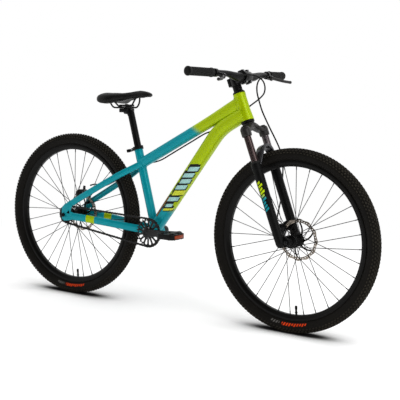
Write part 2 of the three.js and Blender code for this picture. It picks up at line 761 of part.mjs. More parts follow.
// Crank arms: a boss on the spindle, a tapering arm and an eye for the pedal axle
const eyeAt = (side) => {
  const angle = CRANK_RISE_DEGREES * RADIANS;
  const arm = -side * CRANK_LENGTH;
  return vec(arm * Math.cos(angle), side * CRANK_EYE_SIDE, arm * Math.sin(angle));
};
const crankShares = [
  [0, 1.25, 0.8],
  [0.2, 1.15, 0.84],
  [0.5, 1, 0.93],
  [0.8, 0.95, 1],
  [1, 0.9, 1],
];
function crank(side) {
  const eye = eyeAt(side);
  const arm = lofted(
    crankShares.map(([along, height, out]) => ({
      at: vec(eye.x * along, side * CRANK_EYE_SIDE * out, eye.z * along),
      width: CRANK_THICKNESS,
      height: CRANK_WAIST_HEIGHT * height,
    })),
    8,
    3,
  );
  const ringFace = CHAIN_LINE + SPROCKET_THICKNESS / 2 + SEAM;
  const inside = side < 0 ? ringFace : BRACKET_SHELL_WIDTH / 2 + CUP_FLANGE * 2;
  const outside = CRANK_EYE_SIDE * crankShares[0][2] + CRANK_THICKNESS / 2;
  const boss = turned(
    [
      [0, side * inside],
      [CRANK_BOSS_RADIUS, side * inside],
      [CRANK_BOSS_RADIUS, side * (outside - CUP_FLANGE)],
      [CRANK_BOSS_RADIUS - CUP_FLANGE, side * outside],
      [0, side * outside],
    ],
    12,
  );
  const half = CRANK_THICKNESS / 2;
  const eyeBody = rod(vec(eye.x, eye.y - half, eye.z), vec(eye.x, eye.y + half, eye.z), CRANK_EYE_RADIUS);
  const parts = [arm, boss, eyeBody];
  if (side < 0) {
    const ring = plate(
      toothed(5, RING_HUB_RADIUS + RING_RIM / 2, 0),
      side * (inside + CUP_FLANGE * 1.5),
      side * inside,
    );
    parts.push(ring);
  }
  const socket = turned(solidProfile(SPINDLE_RADIUS + SEAM, 0, side * (SPINDLE_REACH + SEAM)), 12);
  const eyeHole = rod(
    vec(eye.x, eye.y - half - OVERRUN, eye.z),
    vec(eye.x, eye.y + half + OVERRUN, eye.z),
    PEDAL_AXLE_RADIUS + SEAM,
  );
  return cut(fuse(...parts), socket, eyeHole);
}

function pedalAxle(side) {
  const eye = eyeAt(side);
  const inner = CRANK_EYE_SIDE - CRANK_THICKNESS / 2;
  const collarFrom = CRANK_EYE_SIDE + CRANK_THICKNESS / 2 + SEAM;
  const tip = collarFrom + PEDAL_COLLAR + PEDAL_WIDTH - 2 * OVERRUN;
  const shaft = turned(
    [
      [0, side * inner],
      [PEDAL_AXLE_RADIUS, side * inner],
      [PEDAL_AXLE_RADIUS, side * collarFrom],
      [PEDAL_BARREL_RADIUS, side * collarFrom],
      [PEDAL_BARREL_RADIUS, side * (collarFrom + PEDAL_COLLAR)],
      [PEDAL_AXLE_RADIUS, side * (collarFrom + PEDAL_COLLAR)],
      [PEDAL_AXLE_RADIUS, side * tip],
      [0, side * tip],
    ],
    12,
  );
  return shaft.translate(eye.x, 0, eye.z);
}

// Platform pedal: a cage with four windows round a barrel
function pedal(side) {
  const eye = eyeAt(side);
  const inner = CRANK_EYE_SIDE + CRANK_THICKNESS / 2 + SEAM + PEDAL_COLLAR + SEAM;
  const half = PEDAL_LENGTH / 2;
  const bevel = PEDAL_LENGTH / 7;
  const outline = [
    [-half + bevel, 0],
    [half - bevel, 0],
    [half, bevel],
    [half, PEDAL_WIDTH - bevel],
    [half - bevel, PEDAL_WIDTH],
    [bevel - half, PEDAL_WIDTH],
    [-half, PEDAL_WIDTH - bevel],
    [-half, bevel],
  ];
  const rail = PEDAL_LENGTH / 9;
  const holes = [];
  for (const end of [-1, 1]) {
    for (const [from, to] of [
      [0.1, 0.46],
      [0.54, 0.9],
    ]) {
      holes.push([
        [end * (PEDAL_BARREL_RADIUS + rail / 4), PEDAL_WIDTH * from],
        [end * (half - rail), PEDAL_WIDTH * from],
        [end * (half - rail), PEDAL_WIDTH * to],
        [end * (PEDAL_BARREL_RADIUS + rail / 4), PEDAL_WIDTH * to],
      ]);
    }
  }
  const cage = plate(outline, -PEDAL_HEIGHT / 2, PEDAL_HEIGHT / 2, holes);
  cage.rotateX(side > 0 ? -Math.PI / 2 : Math.PI / 2);
  const place = side > 0 ? inner : -inner;
  cage.translate(eye.x, place, eye.z);
  const bore = rod(
    vec(eye.x, side * (inner - OVERRUN), eye.z),
    vec(eye.x, side * (inner + PEDAL_WIDTH - OVERRUN), eye.z),
    PEDAL_AXLE_RADIUS + AXLE_CLEARANCE,
  );
  return cut(cage, bore);
}

function bracketCups() {
  const half = BRACKET_SHELL_WIDTH / 2;
  const bore = SPINDLE_RADIUS + AXLE_CLEARANCE;
  const body = BRACKET_BORE_RADIUS - SEAM;
  const flange = BRACKET_SHELL_RADIUS - SEAM;
  return turned(
    [
      [bore, -half - CUP_FLANGE],
      [flange, -half - CUP_FLANGE],
      [flange, -half - SEAM],
      [body, -half - SEAM],
      [body, half + SEAM],
      [flange, half + SEAM],
      [flange, half + CUP_FLANGE],
      [bore, half + CUP_FLANGE],
    ],
    14,
    true,
  );
}

// Frame
const onSeatAxis = (along) => vec(0, 0, along).applyMatrix4(seatAxis.matrixWorld);
const onSteeringAxis = (along) => vec(0, 0, along).applyMatrix4(steering.matrixWorld);
const wholeSeatTube = (grow) =>
  carried(turnedUp(solidProfile(SEAT_TUBE_RADIUS + grow, 0, SEAT_TUBE_LENGTH), 20), seatAxis, bicycle);
const wholeHeadTube = (grow, below = 0) =>
  carried(
    turnedUp(
      [
        [0, HEAD_TUBE_BASE - below],
        [HEAD_TUBE_RADIUS + HEAD_TUBE_FLARE + grow, HEAD_TUBE_BASE - below],
        [HEAD_TUBE_RADIUS + HEAD_TUBE_FLARE + grow, HEAD_TUBE_BASE + HEAD_TUBE_LENGTH / 8],
        [HEAD_TUBE_RADIUS + grow, HEAD_TUBE_BASE + HEAD_TUBE_LENGTH / 2],
        [HEAD_TUBE_RADIUS + grow, headTubeTop],
        [0, headTubeTop],
      ],
      20,
    ),
    steering,
    bicycle,
  );
const shellEnd = BRACKET_SHELL_WIDTH / 2;
const wholeBracketShell = (grow, longer = 0) => {
  const end = shellEnd + grow + longer;
  return carried(turned(solidProfile(BRACKET_SHELL_RADIUS + grow, -end, end), 20), cranks, bicycle);
};

function headTube() {
  const sleeve = [
    [HEAD_BORE_RADIUS, HEAD_TUBE_BASE],
    [HEAD_TUBE_RADIUS + HEAD_TUBE_FLARE, HEAD_TUBE_BASE],
    [HEAD_TUBE_RADIUS + HEAD_TUBE_FLARE, HEAD_TUBE_BASE + HEAD_TUBE_LENGTH / 8],
    [HEAD_TUBE_RADIUS, HEAD_TUBE_BASE + HEAD_TUBE_LENGTH / 2],
    [HEAD_TUBE_RADIUS, headTubeTop],
    [HEAD_BORE_RADIUS, headTubeTop],
  ];
  return carried(turnedUp(sleeve, 20, true), steering, bicycle);
}

function seatTube() {
  const bore = rod(
    onSeatAxis(SEAT_TUBE_RADIUS * 2.4),
    onSeatAxis(SEAT_TUBE_LENGTH + OVERRUN),
    POST_RADIUS + SEAM,
    POST_RADIUS + SEAM,
    20,
  );
  return cut(wholeSeatTube(0), bore, wholeBracketShell(SEAM));
}

function bracketShell() {
  const bore = carried(
    turned(solidProfile(BRACKET_BORE_RADIUS, -shellEnd - OVERRUN, shellEnd + OVERRUN), 20),
    cranks,
    bicycle,
  );
  return cut(wholeBracketShell(0), bore);
}

// Top tube: even behind, deeper where it meets the head tube
const topTubeShares = [
  [0, 1, 1],
  [0.55, 1, 1],
  [0.72, 1.06, 1.02],
  [0.86, 1.2, 1.06],
  [1, 1.34, 1.1],
];
const topTubeFoot = onSeatAxis(SEAT_TUBE_LENGTH - TOP_TUBE_DROP);
const topTubeHead = onSteeringAxis(headTubeTop - TOP_TUBE_HEAD_DROP);
function wholeTopTube(grow) {
  return lofted(
    topTubeShares.map(([along, height, width]) => ({
      at: topTubeFoot.clone().lerp(topTubeHead, along),
      width: TOP_TUBE_WIDTH * width + 2 * grow,
      height: TOP_TUBE_HEIGHT * height + 2 * grow,
    })),
    14,
    2.4,
  );
}

// Down tube: straight from the bottom bracket, then bent forward into the head tube
const downTubeFoot = bracketPlace.clone().add(vec(-DOWN_TUBE_SETBACK, 0, DOWN_TUBE_RISE));
const downTubeBend = vec(-DOWN_TUBE_BEND_SETBACK, 0, HEAD_TUBE_BASE + DOWN_TUBE_BEND_RISE).applyMatrix4(
  steering.matrixWorld,
);
const downTubeGrowth = 0.04; // share by which the tube widens at each of its first stations
const downTubeStations = 2;
function wholeDownTube() {
  const head = onSteeringAxis(HEAD_TUBE_BASE + HEAD_TUBE_LENGTH * 0.27);
  const towards = (end) => end.clone().sub(downTubeBend).setLength(DOWN_TUBE_BEND_REACH).add(downTubeBend);
  const [below, ahead] = [towards(downTubeFoot), towards(head)];
  const bend = new THREE.QuadraticBezierCurve3(below, downTubeBend, ahead).getPoints(4);
  const path = [downTubeFoot, downTubeFoot.clone().lerp(below, 0.5), ...bend, head];
  return lofted(
    path.map((at, i) => {
      const size = DOWN_TUBE_WIDTH * (1 + downTubeGrowth * Math.min(i, downTubeStations));
      return { at, width: size, height: size };
    }),
    14,
    2.3,
  );
}

function topTube() {
  return cut(wholeTopTube(0), wholeSeatTube(SEAM), wholeHeadTube(SEAM));
}

function downTube() {
  const stays = [-1, 1].map((side) => stay(chainstayPlaces, side, CHAINSTAY_HEIGHT + 2 * SEAM, 2 * SEAM));
  return cut(
    wholeDownTube(),
    ...stays,
    wholeHeadTube(SEAM, 2 * CUP_HEIGHT),
    wholeBracketShell(SEAM),
    wholeSeatTube(SEAM),
    wholeTopTube(SEAM),
  );
}

// Chain stays and seat stays
const dropoutInside = REAR_HUB_WIDTH / 2 + SEAM;

// Chain stay: share of the way from the bottom bracket to the axle, out as a share of the way from
// the tyre's side to the dropout, and up as a share of the height of the tube
const outwards = (share) => TYRE_WIDTH / 2 + share * (dropoutInside - TYRE_WIDTH / 2);
const chainstayShares = [
  [0.0297, -0.012, 0.1296],
  [0.1373, 0.1695, 0.1119],
  [0.2288, 0.2785, 0.1112],
  [0.3661, 0.46, 0.1264],
  [0.5492, 0.6659, 0.125],
  [0.7551, 0.8475, 0.0671],
  [0.9062, 0.9806, 0.0031],
];
// Seat stay: share of the way up to the seat tube, and out as above
const seatstayShares = [
  [0, 0.9685],
  [0.2144, 0.8959],
  [0.4697, 0.7748],
  [0.655, 0.6174],
  [0.7891, 0.3874],
  [0.901, 0.0363],
  [1, -0.3027],
];
const seatstayFoot = rearAxlePlace.clone().add(vec(SEATSTAY_FORWARD, 0, SEATSTAY_RISE));
const seatstayHead = vec(-SEATSTAY_SETBACK, 0, SEAT_TUBE_LENGTH - SEATSTAY_DROP).applyMatrix4(
  seatAxis.matrixWorld,
);
const chainstayPlaces = chainstayShares.map(([along, out, up]) =>
  bracketPlace.clone().lerp(rearAxlePlace, along).add(vec(0, outwards(out), up * CHAINSTAY_HEIGHT)),
);
const seatstayPlaces = seatstayShares.map(([along, out]) =>
  seatstayFoot.clone().lerp(seatstayHead, along).add(vec(0, outwards(out), 0)),
);

// Rear dropout, in [x, z] from the axle: a slot open to the rear, a window and a tab for each stay
const dropoutShares = [
  [-0.18, 0.12],
  [0.16, 0.12],
  [0.16, -0.12],
  [-0.18, -0.12],
  [-0.14, -0.38],
  [0.1, -0.5],
  [1, -0.32],
  [1, 0.26],
  [0.72, 0.36],
  [0.91, 0.84],
  [0.67, 1.27],
  [0.1, 0.92],
  [-0.2, 0.5],
];
const brakeTabShares = [
  [0.02, 0.6],
  [0.62, 0.8],
  [0.5, 1.86],
  [0.14, 1.86],
];
function dropout(side) {
  const scaled = (shares) => shares.map(([x, z]) => [x * DROPOUT_SPAN, z * DROPOUT_SPAN]);
  const window = scaled([
    [0.32, 0.16],
    [0.68, 0.14],
    [0.6, 0.5],
  ]);
  const [near, far] = [dropoutInside, dropoutInside + DROPOUT_THICKNESS];
  const [from, to] = side < 0 ? [-far, -near] : [near, far];
  const slotHeight = AXLE_RADIUS + SEAM;
  const outline = scaled(dropoutShares);
  outline[0][1] = slotHeight;
  outline[1][1] = slotHeight;
  outline[2][1] = -slotHeight;
  outline[3][1] = -slotHeight;
  const body = plate(outline, from, to, [window]);
  const whole = side > 0 ? fuse(body, plate(scaled(brakeTabShares), from, to)) : body;
  const above = stay(seatstayPlaces, side, STAY_HEIGHT + 2 * SEAM, 2 * SEAM);
  return cut(carried(whole, rearAxle, bicycle), above);
}

function stay(places, side, height, grow = 0) {
  return lofted(
    places.map(({ x, y, z }) => ({ at: vec(x, side * y, z), width: STAY_WIDTH + grow, height })),
    8,
    2.6,
  );
}

function chainstay(side) {
  const tube = cut(
    stay(chainstayPlaces, side, CHAINSTAY_HEIGHT),
    wholeBracketShell(SEAM, 2 * CUP_FLANGE),
    wholeSeatTube(SEAM),
  );
  return fuse(tube, dropout(side));
}

function seatstay(side) {
  return cut(stay(seatstayPlaces, side, STAY_HEIGHT), wholeSeatTube(SEAM));
}

// Headset
function headsetCup(base, upper) {
  const outside = HEAD_TUBE_RADIUS + (upper ? 0 : HEAD_TUBE_FLARE);
  const narrow = STEERER_RADIUS + 4 * SEAM;
  const bore = STEERER_RADIUS + SEAM;
  const ends = upper ? [outside, narrow + CUP_HEIGHT / 3] : [outside - CUP_HEIGHT / 5, outside];
  return turnedUp(
    [
      [bore, base + SEAM],
      [ends[0], base + SEAM],
      [Math.max(...ends), base + CUP_HEIGHT / 2],
      [ends[1], base + CUP_HEIGHT - SEAM],
      [bore, base + CUP_HEIGHT - SEAM],
    ],
    20,
    true,
  );
}

// Stem: a clamp on the steerer, a short arm and the rear half of the bar clamp
function stemParts() {
  const clamp = turnedUp(solidProfile(STEM_CLAMP_RADIUS, stemFoot, stemTop), 20);
  const shell = BAR_CLAMP_RADIUS + STEM_SHELL;
  const half = BAR_CLAMP_WIDTH / 2;
  const barrel = rod(
    barCentre.clone().add(vec(0, -half, 0)),
    barCentre.clone().add(vec(0, half, 0)),
    shell,
    shell,
    18,
  );
  const middle = (stemFoot + stemTop) / 2;
  const arm = lofted(
    [0, 0.5, 1].map((t) => ({
      at: vec(STEM_REACH * t, 0, middle - STEM_BAR_DROP * t),
      width: BAR_CLAMP_WIDTH * (0.72 + 0.1 * t),
      height: STEM_CLAMP_HEIGHT * (0.86 - 0.06 * t),
    })),
    10,
    4,
  );
  const ears = plate(
    [
      [-STEM_CLAMP_RADIUS * 1.55, stemFoot + STEM_CLAMP_HEIGHT * 0.1],
      [0, stemFoot + STEM_CLAMP_HEIGHT * 0.1],
      [0, stemTop - STEM_CLAMP_HEIGHT * 0.1],
      [-STEM_CLAMP_RADIUS * 1.55, stemTop - STEM_CLAMP_HEIGHT * 0.1],
    ],
    -STEM_CLAMP_RADIUS * 0.6,
    STEM_CLAMP_RADIUS * 0.6,
  );
  const barHole = rod(
    barCentre.clone().add(vec(0, -half - OVERRUN, 0)),
    barCentre.clone().add(vec(0, half + OVERRUN, 0)),
    BAR_CLAMP_RADIUS + SEAM,
    BAR_CLAMP_RADIUS + SEAM,
    18,
  );
  const steererHole = turnedUp(
    solidProfile(STEERER_RADIUS + SEAM, stemFoot - OVERRUN, stemTop + OVERRUN),
    16,
  );
  const split = plate(
    [
      [-STEM_CLAMP_RADIUS * 1.7, stemFoot - OVERRUN],
      [0, stemFoot - OVERRUN],
      [0, stemTop + OVERRUN],
      [-STEM_CLAMP_RADIUS * 1.7, stemTop + OVERRUN],
    ],
    -SEAM * 3,
    SEAM * 3,
  );
  const front = STEM_REACH + SEAM * 3;
  const tall = BAR_CLAMP_RADIUS * 2;
  const before = plate(
    [
      [front, barCentre.z - tall],
      [front + tall, barCentre.z - tall],
      [front + tall, barCentre.z + tall],
      [front, barCentre.z + tall],
    ],
    -half - OVERRUN,
    half + OVERRUN,
  );
  const lugShare = 0.42;
  const lugs = [-1, 1].map((up) =>
    plate(
      [
        [STEM_REACH - shell * 0.6, barCentre.z + up * shell * 0.7],
        [STEM_REACH + shell * 0.6, barCentre.z + up * shell * 0.7],
        [STEM_REACH + shell * 0.6, barCentre.z + up * shell * (1 + lugShare / 2)],
        [STEM_REACH - shell * 0.6, barCentre.z + up * shell * (1 + lugShare / 2)],
      ],
      -half,
      half,
    ),
  );
  const whole = fuse(clamp, barrel, arm, ears, ...lugs);
  const body = cut(whole, barHole, steererHole, split, before);
  const plateBody = cut(fuse(barrel, ...lugs), barHole, geometryBehind(front + SEAM, tall, half));
  return [body, plateBody];
}

function geometryBehind(front, tall, half) {
  return plate(
    [
      [front - 2 * tall, barCentre.z - tall],
      [front, barCentre.z - tall],
      [front, barCentre.z + tall],
      [front - 2 * tall, barCentre.z + tall],
    ],
    -half - OVERRUN,
    half + OVERRUN,
  );
}

// Handlebar, about the centre of its clamp: straight in the middle, then up and swept back
const leverClampSide = BAR_LENGTH / 2 - GRIP_LENGTH - LEVER_CLAMP_ROOM;
const barStraight = BAR_STRAIGHT_SHARE * leverClampSide;
const barBendEnd = BAR_BEND_SHARE * leverClampSide;
const barEnd = vec(-BAR_SWEEP, BAR_LENGTH / 2, BAR_RISE);
function barPoint(side) {
  const [y, sign] = [Math.abs(side), Math.sign(side)];
  if (y <= barStraight) return vec(0, side, 0);
  const t = (y - barStraight) / (barEnd.y - barStraight);
  const lift = Math.min((y - barStraight) / (barBendEnd - barStraight), 1);
  return vec(barEnd.x * t, sign * y, barEnd.z * (0.75 * lift * lift * (3 - 2 * lift) + 0.25 * t));
}

function handlebar() {
  const half = BAR_LENGTH / 2;
  const stops = [half, barBendEnd, (barBendEnd + barStraight) / 2, barStraight, BAR_CLAMP_WIDTH / 2];
  const radii = [BAR_END_RADIUS, BAR_END_RADIUS, (BAR_END_RADIUS + BAR_CLAMP_RADIUS) / 2];
  radii.push(BAR_CLAMP_RADIUS, BAR_CLAMP_RADIUS);
  const stations = [];
  stops.forEach((y, i) => stations.push({ at: barPoint(-y), width: 2 * radii[i], height: 2 * radii[i] }));
  [...stops].reverse().forEach((y, i) => {
    const radius = radii[stops.length - 1 - i];
    stations.push({ at: barPoint(y), width: 2 * radius, height: 2 * radius });
  });
  return lofted(stations, 12);
}

// Local frame of one side of the bar: along runs outwards
function barFrame(side, at) {
  const here = barPoint(side * at);
  const ahead = barPoint(side * (at + BAR_CLAMP_WIDTH));
  return { here, along: ahead.sub(here).normalize() };
}

function grip(side) {
  const outer = barPoint((side * BAR_LENGTH) / 2);
  const along = outer.clone().sub(barPoint(side * (BAR_LENGTH / 2 - GRIP_LENGTH))).normalize();
  const inner = outer.clone().addScaledVector(along, -GRIP_LENGTH);
  const bore = BAR_END_RADIUS + SEAM;
  const profile = [
    [bore, 0],
    [GRIP_RADIUS + GRIP_FLANGE, 0],
    [GRIP_RADIUS + GRIP_FLANGE, GRIP_FLANGE * 2],
    [GRIP_RADIUS, GRIP_FLANGE * 4],
    [GRIP_RADIUS, GRIP_LENGTH - GRIP_FLANGE * 4],
    [GRIP_RADIUS + GRIP_FLANGE, GRIP_LENGTH - GRIP_FLANGE * 2],
    [GRIP_RADIUS + GRIP_FLANGE, GRIP_LENGTH + GRIP_FLANGE],
    [0, GRIP_LENGTH + GRIP_FLANGE],
    [0, GRIP_LENGTH + SEAM],
    [bore, GRIP_LENGTH + SEAM],
  ];
  const body = turned(profile, 14, true);
  body.applyQuaternion(new THREE.Quaternion().setFromUnitVectors(vec(0, 1, 0), along));
  return body.translate(inner.x, inner.y, inner.z);
}

// Brake lever: a clamp round the bar, a body that holds the pivot, and a blade
const leverPivotSide = leverClampSide - LEVER_PIVOT_INSET;
const leverHoseSide = leverPivotSide - LEVER_BARREL_LENGTH;
const leverTilt = LEVER_TILT_DEGREES * RADIANS;
const leverForward = vec(Math.cos(leverTilt), 0, -Math.sin(leverTilt));
const leverUp = vec(Math.sin(leverTilt), 0, Math.cos(leverTilt));
function leverPoint(side, at, forward, up = 0) {
  const base = barPoint(side * leverClampSide);
  return vec(base.x, side * at, base.z).addScaledVector(leverForward, forward).addScaledVector(leverUp, up);
}

function leverBracket(side) {
  const { here, along } = barFrame(side, leverClampSide);
  const half = LEVER_CLAMP_WIDTH / 2;
  const ringRadius = BAR_END_RADIUS + LEVER_CLAMP_WALL;
  const from = here.clone().addScaledVector(along, -half);
  const to = here.clone().addScaledVector(along, half);
  const ring = rod(from, to, ringRadius, ringRadius, 10);
  const bore = rod(
    from.clone().addScaledVector(along, -LEVER_CLAMP_WIDTH),
    to.clone().addScaledVector(along, LEVER_CLAMP_WIDTH),
    BAR_END_RADIUS + 2 * SEAM,
    BAR_END_RADIUS + 2 * SEAM,
    12,
  );
  const height = LEVER_BLADE_HEIGHT + 4 * LEVER_PIVOT_RADIUS;
  const bodyPlaces = [
    [leverPoint(side, leverClampSide - half / 2, BAR_END_RADIUS + SEAM), 1],
    [leverPoint(side, leverPivotSide + half, LEVER_PIVOT_REACH * 0.7), 1],
    [leverPoint(side, leverPivotSide, LEVER_PIVOT_REACH + LEVER_PIVOT_RADIUS * 2), 0.9],
  ];
  const body = lofted(
    bodyPlaces.map(([at, size]) => ({ at, width: LEVER_CLAMP_WIDTH, height: height * size })),
    8,
    4,
    leverUp,
  );
  const barrelAt = leverPoint(side, leverPivotSide, LEVER_BARREL_REACH);
  const barrelEnd = leverPoint(side, leverHoseSide, LEVER_BARREL_REACH);
  const barrel = rod(barrelAt, barrelEnd, LEVER_BARREL_RADIUS, LEVER_BARREL_RADIUS, 8);
  const gap = LEVER_BLADE_HEIGHT / 2 + SEAM;
  const slotFrom = leverPoint(side, leverPivotSide, LEVER_PIVOT_REACH, -gap);
  const slotTo = leverPoint(side, leverPivotSide, LEVER_PIVOT_REACH, gap);
  const slot = rod(slotFrom, slotTo, LEVER_BLADE_DEPTH * 1.18, LEVER_BLADE_DEPTH * 1.18, 8);
  const slotOut = lofted(
    [0, 1].map((t) => ({
      at: leverPoint(
        side,
        leverPivotSide + t * LEVER_BLADE_HEIGHT * 3,
        LEVER_PIVOT_REACH + LEVER_BLADE_DEPTH * 0.6 * t,
      ),
      width: LEVER_BLADE_DEPTH * 3.2,
      height: 2 * gap,
    })),
    4,
    9,
    leverUp,
  );
  const pin = rod(
    leverPoint(side, leverPivotSide, LEVER_PIVOT_REACH, -height / 2.4),
    leverPoint(side, leverPivotSide, LEVER_PIVOT_REACH, height / 2.4),
    LEVER_PIVOT_RADIUS,
    LEVER_PIVOT_RADIUS,
    8,
  );
  return fuse(cut(fuse(ring, body, barrel), bore, slot, slotOut), pin);
}

// Blade shares: along from pivot to tip, forward from pivot to tip, and depth of the blade
const bladeShares = [
  [0, 0, 1.4],
  [0.2, 0.22, 1.1],
  [0.45, 0.62, 0.9],
  [0.7, 0.86, 0.9],
  [0.93, 0.98, 1],
  [1, 1, 1.2],
];
function leverBlade(side) {
  const pivot = leverPoint(side, leverPivotSide, LEVER_PIVOT_REACH);
    const forward = Math.hypot(LEVER_TIP_REACH, LEVER_TIP_DROP) - LEVER_PIVOT_REACH;
  const blade = lofted(
    bladeShares.map(([along, ahead, depth]) => ({
      at: leverPoint(side, leverPivotSide + along * LEVER_BLADE_SPAN, LEVER_PIVOT_REACH + ahead * forward),
      width: LEVER_BLADE_DEPTH * depth,
      height: LEVER_BLADE_HEIGHT,
    })),
    8,
    3,
    leverUp,
  );
  const half = LEVER_BLADE_HEIGHT / 2;
  const eye = rod(
    pivot.clone().addScaledVector(leverUp, -half),
    pivot.clone().addScaledVector(leverUp, half),
    LEVER_BLADE_DEPTH,
  );
  const hole = rod(
    pivot.clone().addScaledVector(leverUp, -half - OVERRUN),
    pivot.clone().addScaledVector(leverUp, half + OVERRUN),
    LEVER_PIVOT_RADIUS + SEAM,
    LEVER_PIVOT_RADIUS + SEAM,
    8,
  );
  return cut(fuse(blade, eye), hole);
}

// Fork crown with its steerer
const crownShares = [
  [-1, 0, 0.8, 0.9],
  [-0.62, 0.34, 0.9, 0.95],
  [-0.3, 0.86, 1.1, 1],
  [0, 1, 1.25, 1],
  [0.3, 0.86, 1.1, 1],
  [0.62, 0.34, 0.9, 0.95],
  [1, 0, 0.8, 0.9],
];
function crown() {
  const half = legSpacing / 2;
  const low = crownBase + CROWN_BOSS_HEIGHT / 2;
  const high = crownTop - CROWN_THICKNESS / 2;
  const bridge = lofted(
    crownShares.map(([out, up, depth, thick]) => ({
      at: vec(CROWN_OFFSET * (1 - up * 0.75), half * out, low + (high - low) * up),
      width: 2 * CROWN_BOSS_RADIUS * depth,
      height: CROWN_THICKNESS * thick,
    })),
    10,
    3,
  );
  const bosses = [-1, 1].map((side) =>
    turnedUp(
      [
        [0, crownBase],
        [CROWN_BOSS_RADIUS * 0.94, crownBase],
        [CROWN_BOSS_RADIUS, crownBase + CROWN_BOSS_HEIGHT * 0.2],
        [CROWN_BOSS_RADIUS, crownBase + CROWN_BOSS_HEIGHT * 0.75],
        [CROWN_BOSS_RADIUS * 0.8, crownBase + CROWN_BOSS_HEIGHT],
        [0, crownBase + CROWN_BOSS_HEIGHT],
      ],
      12,
    ).translate(CROWN_OFFSET, side * half, 0),
  );
  const steerer = turnedUp(
    [
      [0, high],
      [HEAD_TUBE_RADIUS, high],
      [HEAD_TUBE_RADIUS, crownTop],
      [STEERER_RADIUS, crownTop],
      [STEERER_RADIUS, stemTop - TOP_CAP_HEIGHT / 2],
      [0, stemTop - TOP_CAP_HEIGHT / 2],
    ],
    12,
  );
  const sockets = [-1, 1].map((side) =>
    turnedUp(
      solidProfile(STANCHION_RADIUS + SEAM, crownBase - OVERRUN, crownBase + CROWN_BOSS_HEIGHT * 0.8),
      12,
    ).translate(CROWN_OFFSET, side * half, 0),
  );
  return cut(fuse(bridge, ...bosses, steerer), ...sockets);
}

function stanchion(side) {
  const top = crownBase + CROWN_BOSS_HEIGHT * 0.8 - SEAM;
  return turnedUp(solidProfile(STANCHION_RADIUS, stanchionFoot, top), 12).translate(
    CROWN_OFFSET,
    (side * legSpacing) / 2,
    0,
  );
}

